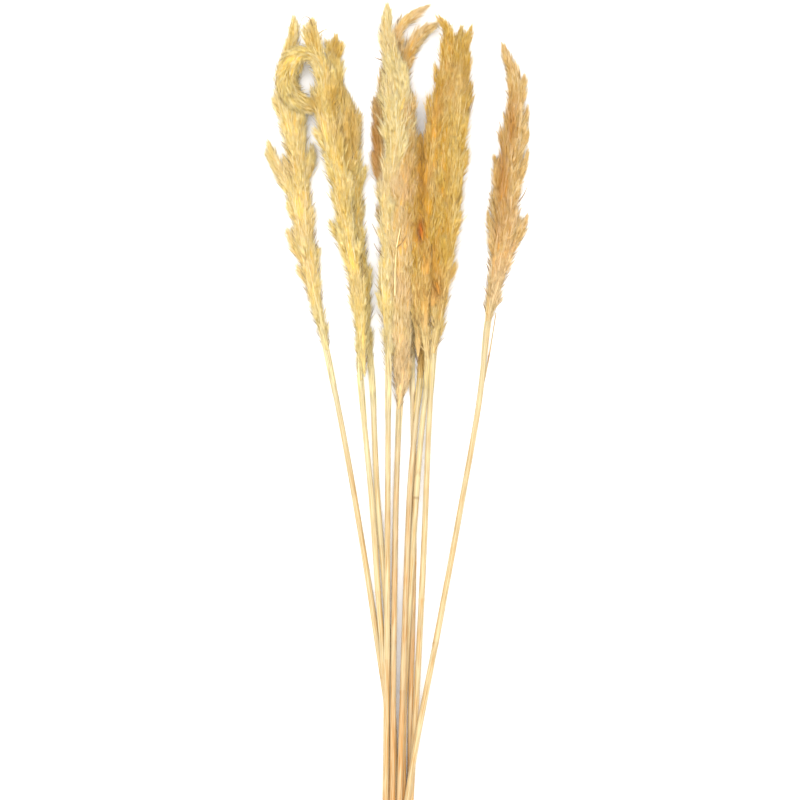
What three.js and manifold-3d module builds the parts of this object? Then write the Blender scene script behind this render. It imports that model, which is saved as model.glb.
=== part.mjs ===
// A bunch of dried pampas grass, cut and laid down on a flat surface.
//
// Ten stalks lie beside and over each other. Each is a slender culm with a feathery plume at its
// upper end. The plumes fan out in two layers, and the culms gather into a narrow bunch of three
// layers at the cut ends, with nothing tied round them.
//
// Millimetres. +Y runs from the cut ends to the plume tips, +X to the right, and +Z up from the
// surface at z = 0. The origin is on that surface, under the plume called blush_left.

import * as THREE from 'three';
import { mergeVertices } from 'three/addons/utils/BufferGeometryUtils.js';
import Module from 'manifold-3d';

const wasm = await Module();
wasm.setup();

// Culms: the bare stems.
const CULM_BUTT_RADIUS = 2.7;
const CULM_TOP_RADIUS = 2.0;
const CULM_TAPER_POWER = 1.4;
const CULM_SIDES = 8;
const CULM_STEP = 62;
const NODE_SWELL = 0.25;
const NODE_HALF_LENGTH = 5;

// Plumes: a core along the stalk's own line, covered with tufts that stand out of it.
const FOOT_GAP = 0.3;
const PLUME_HALF_THICKNESS = 8.8;
const FOOT_HALF_WIDTH = 2.8;
const CORE_SHARE = 0.5;
const CORE_TIP_RADIUS = 1.2;
const CORE_SIDES = 8;
const CORE_STEP = 27;
const PRESSED_SPREAD = 1.6;
const PRESSED_BELOW = -0.9;

// Tufts: pointed locks of fibre, larger than life, that cover the plume.
const TUFT_SIDES = 3;
const TUFT_PATCH = 345;
const TUFT_LENGTH = 46;
const TUFT_HALF_WIDTH = 5.8;
const TUFT_HALF_THICKNESS = 2.2;
const TUFT_ROOT_REACH = 0.15;
const TUFT_BELLY_REACH = 0.72;
const TUFT_BELLY_AT = 0.4;
const TUFT_TIP_REACH = [0.94, 1.06];
const TUFT_LENGTH_SPREAD = [0.85, 1.15];
const TUFT_TURN_SPREAD = 0.3;
const TUFT_SHORTEST = 0.45;
const TUFT_SLIMMEST = 0.35;
const BARE_TIP = 6;
const GOLDEN_TURN = Math.PI * (3 - Math.sqrt(5));

// Side tufts: longer, slimmer locks that stand clear of the outline.
const SIDE_TUFT_HALF_WIDTH = 3.6;
const SIDE_TUFT_HALF_THICKNESS = 2.2;
const SIDE_TUFT_BELLY_AT = 0.55;

// A thin side branch that leaves a culm just below its plume.
const BRANCH_RADIUS = 0.6;
const BRANCH_STEPS = 4;

const ROUTE_DIVISIONS = 60;
const UP = new THREE.Vector3(0, 0, 1);

const COLOURS = {
  straw: 0xe6cf98,
  pale_straw: 0xeddcae,
  amber_straw: 0xdcb878,
  cream: 0xf0dba6,
  light_gold: 0xe8cb86,
  gold: 0xe2bf74,
  deep_gold: 0xd6aa5c,
  blush: 0xe3c193,
  tan: 0xe0bb82,
};

// The stalks, with their plumes from left to right. `culm` runs from the cut end to the foot of
// the plume and `plume` from there to its tip, as places [x, y, z] along the stalk's middle line.
// Each place of a plume has the plume's half width there as its fourth number. `joints` are the
// culm's swollen nodes, as shares of its length. A plume that lies on the surface is `resting`.
const STALKS = [
  {
    name: 'far_left', culmColour: 'straw', plumeColour: 'light_gold', resting: true,
    culm: [[11.8, -532, 2.5], [-5, -423, 2.8], [-26, -285, 2.6], [-44, -181, 2.6], [-60, -101, 3.2]],
    plume: [[-70, -55, 5, 5.5], [-79, -8, 7, 11], [-83, 37, 9, 11.5], [-86.5, 74, 9, 10.5],
      [-91, 106, 9, 14], [-94, 138, 8, 15], [-93, 168, 6, 11.5], [-91, 190, 4, 7.5],
      [-90.5, 199, 3, 4.2], [-90, 206, 2.5, 2.4]],
    joints: [0.24],
    sideTufts: [[[-82, 32, 9], [-114, 92, 11]], [[-80, 22, 8], [-116, 80, 8]]],
  },
  {
    name: 'nodding', culmColour: 'pale_straw', plumeColour: 'gold', resting: false,
    culm: [[-1, -539, 8], [-4.7, -423, 8.3], [-11.5, -331, 8.8], [-18, -239, 11], [-28, -129, 15]],
    plume: [[-29, -83, 18, 3.6], [-31, -55, 20.5, 5.4], [-34, -28, 23, 8.2], [-39, -9, 25, 10],
      [-42.5, 18, 27.5, 9.6], [-46, 46, 28, 9.8], [-51.5, 74, 28, 11.5], [-57, 101, 28, 11.8],
      [-61, 129, 28, 11], [-65, 153, 27.5, 8.5], [-72, 168, 27, 6.8], [-81, 171, 26.5, 6.8],
      [-87.5, 162, 26.5, 6.8], [-89.5, 149, 26, 6.6], [-86.5, 137, 26, 6.4], [-78.5, 130, 26, 5.6],
      [-69, 127, 26, 3]],
    joints: [0.52],
    sideTufts: [[[-66, 158, 27], [-72, 200, 27]], [[-72, 168, 27], [-80, 194, 27]]],
  },
  {
    name: 'inner_left', culmColour: 'pale_straw', plumeColour: 'gold', resting: true,
    culm: [[5, -534, 8], [1.2, -423, 8], [-5, -331, 7], [-12.5, -239, 5.5], [-18.5, -116, 3.5]],
    plume: [[-22.5, -83, 4.5, 3.8], [-24.5, -55, 6, 6.2], [-27.5, -28, 7.5, 7], [-32, 0, 9, 8],
      [-35, 37, 9, 10], [-37, 69, 9, 13], [-39.5, 106, 9, 12.5], [-44, 126, 9, 9.5],
      [-49, 142, 8.5, 5.4], [-51.5, 164, 7, 4.8], [-52.5, 190, 3, 2.2]],
    joints: [0.14, 0.6],
  },
  {
    name: 'cream', culmColour: 'straw', plumeColour: 'cream', resting: false,
    culm: [[-5.5, -537, 13.6], [-4, -423, 13.7], [-3, -239, 14], [-2.5, -124, 17]],
    plume: [[-2.5, -92, 19, 4.2], [-2.5, -74, 20, 6], [-2.5, -41, 23, 10.2], [-1.5, -9, 25.5, 8.6],
      [-0.5, 18, 27.5, 10.6], [0.5, 37, 28, 13], [2, 55, 28, 12.6], [4.5, 83, 28, 12.6],
      [5, 110, 28, 15.4], [5, 130, 28, 16.4], [3.5, 147, 28, 12.4], [0, 166, 27, 9.6],
      [-3.2, 184, 26, 6.6], [-4.5, 197, 25, 4.6], [-3.7, 214, 24, 2.6]],
    joints: [0.36],
  },
  {
    name: 'blush_left', culmColour: 'amber_straw', plumeColour: 'blush', resting: true,
    culm: [[1.3, -530, 13.5], [2, -423, 13.5], [2.8, -353, 12.5], [4.6, -239, 8], [8, -151, 3.5]],
    plume: [[9, -124, 4.5, 5.6], [8.5, -104, 5, 7.2], [6, -55, 7, 6.8], [0, 0, 9, 7.8],
      [-5.5, 64, 9, 10], [-5.5, 120, 9, 9.5], [-4, 152, 8, 6.5], [2, 178, 7, 5.4],
      [8.5, 197, 6, 5.4], [19, 208, 5, 4.8], [33, 217, 4, 2]],
    joints: [0.42],
  },
  {
    name: 'blush_right', culmColour: 'amber_straw', plumeColour: 'blush', resting: true,
    culm: [[17.6, -535, 2.52], [18.4, -423, 2.5], [21, -285, 2.5], [20.7, -184, 2.5],
      [19.3, -106, 3]],
    plume: [[19, -64, 5, 4.3], [17, 0, 8.5, 7.6], [15, 64, 9, 9], [13.5, 110, 9, 9],
      [10.5, 150, 8, 5.2], [13.5, 168, 7.5, 5.8], [20, 184, 6.5, 6.4], [28.5, 194, 5.5, 5.4],
      [38.5, 200, 4, 2]],
    joints: [0.55],
  },
  {
    name: 'under_gold', culmColour: 'amber_straw', plumeColour: 'deep_gold', resting: true,
    culm: [[7.2, -541, 13.5], [10.6, -423, 13.5], [17, -239, 9.2], [20.7, -190, 7.5], [27, -127, 5]],
    plume: [[30, -83, 5, 5], [37, -28, 8, 9], [44, 37, 9, 11], [50, 101, 9, 11], [55, 147, 8, 8],
      [61, 175, 6, 4.6], [65, 196, 4, 2]],
    joints: [0.3],
  },
  {
    name: 'gold_left', culmColour: 'pale_straw', plumeColour: 'deep_gold', resting: false,
    culm: [[11.1, -529, 8], [12.4, -423, 8], [20.7, -276, 8], [26.7, -193, 11.5],
      [34, -109, 17]],
    plume: [[31.5, -87, 19, 4.2], [30.8, -60, 21.5, 6.2], [31, -18, 25, 8.8], [32.5, 18, 27.5, 9],
      [35, 55, 28, 9.4], [38, 92, 28, 10.2], [43.5, 124, 28, 9.3], [51, 161, 27, 6.4],
      [54, 181, 26, 5.4], [51.5, 196, 25.5, 2.8], [42, 206, 25, 1.6]],
    joints: [0.76],
  },
  {
    name: 'gold_right', culmColour: 'straw', plumeColour: 'deep_gold', resting: false,
    culm: [[17.1, -535, 8], [23.5, -423, 8], [30, -294, 9], [34.5, -184, 12.5], [39, -104, 17]],
    plume: [[42.5, -78, 19.5, 4.9], [46.5, -46, 22, 7.2], [52, 0, 27, 9], [57.5, 46, 28, 9.8],
      [61, 92, 28, 10.4], [64.5, 124, 28, 9.8], [66, 156, 27, 6.6], [69.5, 179, 26, 3.6],
      [73.5, 195, 25, 1.8]],
    joints: [0.47],
  },
  {
    name: 'far_right', culmColour: 'straw', plumeColour: 'tan', resting: true,
    culm: [[13.3, -526, 13.5], [22.5, -469, 13.5], [32, -419, 12.8], [42, -368, 11],
      [66, -239, 7], [82, -147, 4], [90, -74, 3]],
    plume: [[94, -50, 5, 6.6], [99.5, -28, 6.5, 9.6], [102.5, -9, 8, 12.4], [105.5, 14, 9, 14],
      [105.5, 37, 9, 13.6], [108, 60, 9, 13.6], [112.5, 80, 9, 12.2], [114, 101, 9, 11],
      [115.5, 124, 8.5, 9.6], [117, 143, 8, 7.6], [113.5, 155, 7, 4.6], [109.5, 166, 5, 3.9],
      [104.5, 181, 3, 2.2]],
    joints: [0.4],
    branch: [[83.7, -141, 4], [91, -106, 4.5], [97.5, -66, 5]],
  },
];

// A seeded generator of draws from 0 to 1.
function seededDraws(seed) {
  let state = seed;
  return () => {
    state = (Math.imul(state, 1664525) + 1013904223) >>> 0;
    return state / 2 ** 32;
  };
}

function between(draw, low, high) {
  return low + (high - low) * draw();
}

function curveThrough(places) {
  return new THREE.CatmullRomCurve3(places.map(([x, y, z]) => new THREE.Vector3(x, y, z)));
}

// The stalk's middle line, its whole length, the length at which the plume begins, and the plume's
// half widths with their stations, which are distances from its foot.
function stalkRoute(stalk) {
  const places = [...stalk.culm, ...stalk.plume];
  const curve = curveThrough(places);
  curve.arcLengthDivisions = ROUTE_DIVISIONS * (places.length - 1);
  const lengths = curve.getLengths();
  const spans = stalk.culm.length - 1;
  const foot = lengths[ROUTE_DIVISIONS * spans];
  const stations = stalk.plume.map((_, i) => lengths[ROUTE_DIVISIONS * (spans + 1 + i)] - foot);
  const halfWidths = stalk.plume.map((place) => place[3]);
  return {
    curve,
    length: lengths.at(-1),
    foot,
    plumeLength: lengths.at(-1) - foot,
    stations: [0, ...stations],
    halfWidths: [FOOT_HALF_WIDTH, ...halfWidths],
    widest: Math.max(...halfWidths),
  };
}

// The plume's half width at a station, in straight steps from place to place.
function halfWidthAt(route, station) {
  const { stations, halfWidths } = route;
  const next = stations.findIndex((each) => each >= station);
  if (next < 0) {
    return halfWidths.at(-1);
  }
  if (next === 0) {
    return halfWidths[0];
  }
  const share = (station - stations[next - 1]) / (stations[next] - stations[next - 1]);
  return THREE.MathUtils.lerp(halfWidths[next - 1], halfWidths[next], share);
}

// The middle line's place and directions, a given distance from the cut end.
function frameAt(route, distance) {
  const share = THREE.MathUtils.clamp(distance / route.length, 0, 1);
  const centre = route.curve.getPointAt(share);
  const along = route.curve.getTangentAt(share);
  const side = new THREE.Vector3().crossVectors(along, UP).normalize();
  const up = new THREE.Vector3().crossVectors(side, along);
  return { centre, along, side, up };
}

// A closed solid from a turned form, each of whose points is then moved by place(x, y, z).
function bentSolid(turned, place) {
  turned.deleteAttribute('normal');
  turned.deleteAttribute('uv');
  const merged = mergeVertices(turned, 1e-5);
  const from = merged.getAttribute('position');
  const vertProperties = new Float32Array(from.count * 3);
  for (let i = 0; i < from.count; i += 1) {
    const to = place(from.getX(i), from.getY(i), from.getZ(i));
    vertProperties.set([to.x, to.y, to.z], i * 3);
  }
  const corners = [];
  const index = merged.getIndex().array;
  for (let i = 0; i < index.length; i += 3) {
    const [a, b, c] = index.slice(i, i + 3);
    if (a !== b && b !== c && c !== a) {
      corners.push(a, b, c);
    }
  }
  const triVerts = new Uint32Array(corners);
  return new wasm.Manifold(new wasm.Mesh({ numProp: 3, vertProperties, triVerts }));
}

// Solids joined into one body, without sealed hollows or loose scraps.
function joinedBody(solids) {
  const shells = wasm.Manifold.union(solids).decompose();
  return shells.reduce((best, shell) => (shell.volume() > best.volume() ? shell : best));
}

function meshOf(name, solid, colour) {
  const { vertProperties, triVerts } = solid.getMesh();
  const geometry = new THREE.BufferGeometry();
  geometry.setAttribute('position', new THREE.BufferAttribute(vertProperties, 3));
  geometry.setIndex(new THREE.BufferAttribute(triVerts, 1));
  geometry.computeVertexNormals();
  const material = new THREE.MeshStandardMaterial({
    color: COLOURS[colour],
    roughness: 0.75,
    metalness: 0,
  });
  const mesh = new THREE.Mesh(geometry, material);
  mesh.name = name;
  return mesh;
}

// The culm's radius falls along a power curve from the cut end to the plume.
function culmRadius(share) {
  return CULM_BUTT_RADIUS - (CULM_BUTT_RADIUS - CULM_TOP_RADIUS) * share ** CULM_TAPER_POWER;
}

// The bare stem, turned as a tapered rod with a ring at each swollen node, then bent to its line.
function culmSolid(stalk, route) {
  const length = route.foot - FOOT_GAP;
  const rings = [];
  const steps = Math.ceil(length / CULM_STEP);
  for (let step = 0; step <= steps; step += 1) {
    rings.push([culmRadius(step / steps), (length * step) / steps]);
  }
  for (const share of stalk.joints) {
    rings.push([culmRadius(share), length * share - NODE_HALF_LENGTH]);
    rings.push([culmRadius(share) + NODE_SWELL, length * share]);
    rings.push([culmRadius(share), length * share + NODE_HALF_LENGTH]);
  }
  rings.sort((a, b) => a[1] - b[1]);
  const profile = [[0, 0], ...rings, [0, length]].map(([r, y]) => new THREE.Vector2(r, y));
  const turned = new THREE.LatheGeometry(profile, CULM_SIDES, Math.PI / CULM_SIDES);
  const rod = bentSolid(turned, (x, y, z) => {
    const { centre, side, up } = frameAt(route, y);
    return centre.addScaledVector(side, x).addScaledVector(up, z);
  });
  return stalk.branch ? joinedBody([rod, branchSolid(stalk.branch)]) : rod;
}

// A thin side branch: a four-sided rod along its own curve.
function branchSolid(places) {
  const curve = curveThrough(places);
  const rod = new THREE.CylinderGeometry(BRANCH_RADIUS, BRANCH_RADIUS, 1, 4, BRANCH_STEPS);
  return bentSolid(rod, (x, y, z) => {
    const share = y + 0.5;
    const along = curve.getTangentAt(share);
    const side = new THREE.Vector3().crossVectors(along, UP).normalize();
    const up = new THREE.Vector3().crossVectors(side, along);
    return curve.getPointAt(share).addScaledVector(side, x).addScaledVector(up, z);
  });
}

// A point of the plume: `station` along it, at an angle round its middle line, and at a reach
// from 0 on that line to 1 at the outline. The lower half is never deeper than the surface.
function plumePoint(route, station, angle, reach) {
  const { centre, side, up } = frameAt(route, route.foot + station);
  const across = Math.cos(angle);
  const rising = Math.sin(angle);
  const halfWidth = halfWidthAt(route, station);
  const halfThickness = (PLUME_HALF_THICKNESS * halfWidth) / route.widest;
  const depth = rising < 0 ? Math.min(halfThickness, centre.z) : halfThickness;
  const outward = new THREE.Vector3().addScaledVector(side, across * depth)
    .addScaledVector(up, rising * halfWidth).normalize();
  const place = centre.addScaledVector(side, across * halfWidth * reach)
    .addScaledVector(up, rising * depth * reach);
  return { place, outward };
}

// The core: a tapered rod of oval section. On a resting plume its underside is pressed flat on
// the surface and spread a little.
function coreSolid(stalk, route) {
  const length = route.plumeLength;
  const steps = Math.round(length / CORE_STEP);
  const profile = [new THREE.Vector2(0, 0)];
  for (let step = 0; step < steps; step += 1) {
    profile.push(new THREE.Vector2(1, step / steps));
  }
  profile.push(new THREE.Vector2(0, 1));
  const turned = new THREE.LatheGeometry(profile, CORE_SIDES, Math.PI / CORE_SIDES);
  return bentSolid(turned, (x, y, z) => {
    const { centre, side, up } = frameAt(route, route.foot + y * length);
    const halfWidth = CORE_SHARE * halfWidthAt(route, y * length);
    const halfThickness = (PLUME_HALF_THICKNESS * halfWidth) / route.widest;
    const slimmest = THREE.MathUtils.lerp(CULM_TOP_RADIUS, CORE_TIP_RADIUS, y);
    const pressed = stalk.resting && z < PRESSED_BELOW;
    const spread = pressed ? PRESSED_SPREAD : 1;
    const place = centre.addScaledVector(side, x * Math.max(slimmest, halfWidth) * spread)
      .addScaledVector(up, z * Math.max(slimmest, halfThickness));
    if (pressed) {
      place.z = 0;
    }
    return place;
  });
}

// One tuft: a three-sided lock that starts inside the core, swells, and ends in a point at the
// plume's outline.
function tuftSolid(route, tuft) {
  const profile = [[0, 0], [1, TUFT_BELLY_AT], [0, 1]].map(([r, y]) => new THREE.Vector2(r, y));
  const reaches = [TUFT_ROOT_REACH, TUFT_BELLY_REACH, tuft.reach];
  return bentSolid(new THREE.LatheGeometry(profile, TUFT_SIDES), (x, y, z) => {
    const reach = reaches[y === 0 ? 0 : y === 1 ? 2 : 1];
    const station = tuft.station + y * tuft.length;
    const { place, outward } = plumePoint(route, station, tuft.angle, reach);
    const { along } = frameAt(route, route.foot + station);
    const sideways = new THREE.Vector3().crossVectors(along, outward);
    place.addScaledVector(sideways, x * tuft.halfWidth);
    place.addScaledVector(outward, z * tuft.halfThickness);
    place.z = Math.max(place.z, 0);
    return place;
  });
}

// A tuft is placed for each patch of the plume's side, turned on by the golden angle.
function tuftPlaces(route, draw) {
  const tufts = [];
  let owed = 1;
  for (let station = 1; station < route.plumeLength - BARE_TIP; station += 1) {
    const full = halfWidthAt(route, station) / route.widest;
    owed += (Math.PI * (route.widest + PLUME_HALF_THICKNESS) * full) / TUFT_PATCH;
    if (owed >= 1) {
      owed -= 1;
      const length = TUFT_LENGTH * THREE.MathUtils.lerp(TUFT_SHORTEST, 1, full)
        * between(draw, ...TUFT_LENGTH_SPREAD);
      const girth = THREE.MathUtils.lerp(TUFT_SLIMMEST, 1, full);
      tufts.push({
        station,
        length: Math.min(length, route.plumeLength - station),
        angle: GOLDEN_TURN * tufts.length + between(draw, -TUFT_TURN_SPREAD, TUFT_TURN_SPREAD),
        reach: between(draw, ...TUFT_TIP_REACH),
        halfWidth: TUFT_HALF_WIDTH * girth,
        halfThickness: TUFT_HALF_THICKNESS * girth,
      });
    }
  }
  return tufts;
}

// A side tuft of a branch that stands clear of the outline: a long lock from one place to another.
function sideTuftSolid([from, to]) {
  const root = new THREE.Vector3(...from);
  const along = new THREE.Vector3(...to).sub(root);
  const side = new THREE.Vector3().crossVectors(along, UP).normalize();
  const up = new THREE.Vector3().crossVectors(side, along).normalize();
  const profile = [[0, 0], [1, SIDE_TUFT_BELLY_AT], [0, 1]].map(([r, y]) => new THREE.Vector2(r, y));
  return bentSolid(new THREE.LatheGeometry(profile, TUFT_SIDES), (x, y, z) => (
    root.clone().addScaledVector(along, y).addScaledVector(side, x * SIDE_TUFT_HALF_WIDTH)
      .addScaledVector(up, z * SIDE_TUFT_HALF_THICKNESS)
  ));
}

function plumeSolid(stalk, route, draw) {
  const tufts = tuftPlaces(route, draw).map((tuft) => tuftSolid(route, tuft));
  const sideTufts = (stalk.sideTufts ?? []).map(sideTuftSolid);
  return joinedBody([coreSolid(stalk, route), ...tufts, ...sideTufts]);
}

const bunch = new THREE.Group();
STALKS.forEach((stalk, number) => {
  const route = stalkRoute(stalk);
  const draw = seededDraws(number + 1);
  bunch.add(meshOf(`culm_${stalk.name}`, culmSolid(stalk, route), stalk.culmColour));
  bunch.add(meshOf(`plume_${stalk.name}`, plumeSolid(stalk, route, draw), stalk.plumeColour));
});

export default bunch;
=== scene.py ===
"""A bunch of dried pampas grass, laid down on a pale floor.

Ten stalks lie beside and over each other. Each has a slender culm, which is the bare stem, and a
feathery plume at its upper end. A plume is made of fine closed fibres round its rachis, the thin
upper end of the stem. Most are gathered in locks, which are pointed tufts. Between them stand
spikelets of a few fibres each, down, long pale strands and stiff bristles. Sizes are in
millimetres until a mesh is written, which is in metres. +Y runs from the cut ends to the plume
tips and +Z up from the floor.
"""

import math
from types import SimpleNamespace

import bpy
import numpy as np
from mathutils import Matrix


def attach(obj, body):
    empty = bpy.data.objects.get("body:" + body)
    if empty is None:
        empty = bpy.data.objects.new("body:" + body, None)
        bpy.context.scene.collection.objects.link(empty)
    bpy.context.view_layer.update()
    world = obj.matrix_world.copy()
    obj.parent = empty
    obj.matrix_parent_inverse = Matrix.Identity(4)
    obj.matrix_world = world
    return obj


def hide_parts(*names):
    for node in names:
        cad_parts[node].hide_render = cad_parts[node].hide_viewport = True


bl_info = {
    "name": "Pampas Grass Bunch",
    "version": (1, 0, 0),
    "blender": (4, 5, 0),
    "location": "3D View > Sidebar > Pampas",
    "description": "Builds the culms and plumes of a dried pampas grass bunch",
    "category": "Add Mesh",
}

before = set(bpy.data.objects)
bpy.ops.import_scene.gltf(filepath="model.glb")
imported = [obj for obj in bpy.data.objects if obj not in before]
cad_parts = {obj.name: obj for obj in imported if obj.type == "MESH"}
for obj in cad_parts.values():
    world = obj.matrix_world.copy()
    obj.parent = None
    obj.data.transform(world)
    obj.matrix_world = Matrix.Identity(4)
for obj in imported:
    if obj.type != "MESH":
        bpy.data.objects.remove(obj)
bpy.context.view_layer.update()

MM = 0.001

# The whole bunch
LEFTMOST = -122.0
RIGHTMOST = 131.0
LOWEST = 0.15
HIGHEST = 37.4
SIDE_EASING = 6
FLOOR_EASING = 2.5
TOP_EASING = 5
SPAN_DIVISIONS = 60
LEAST_HALF_WIDTH = 0.3
GOLDEN_TURN = math.pi * (3 - math.sqrt(5))

# Culms
BUTT_RADIUS = 2.75
TOP_RADIUS = 2.45
TAPER_POWER = 1.4
CULM_COLUMNS = 24
CULM_ROW = 2.2
CROWN_REACH = 70.0
# How far from the cut end the painted shade on the culms reaches
BUTT_SHADE_REACH = 100.0
RIBS = 10
GRAIN_TURN = 2.0

# Plumes
HALF_THICKNESS = 8.8
SIDE_HALF_THICKNESS = 4.0
FOOT_HALF_WIDTH = 2.8
FOOT_REACH = 48.0
BODY_SHARE = 0.86
CORE_COLUMNS = 20
CORE_REACH = 0.63
EDGE_BRISTLES = 1.6

# Stage
VIEW_CENTRE = (8.3, -147.2, 20.0)
KEY_PLACE = (-0.15, 0.1, 2.5)
KEY_SIZE = 2.6
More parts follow.
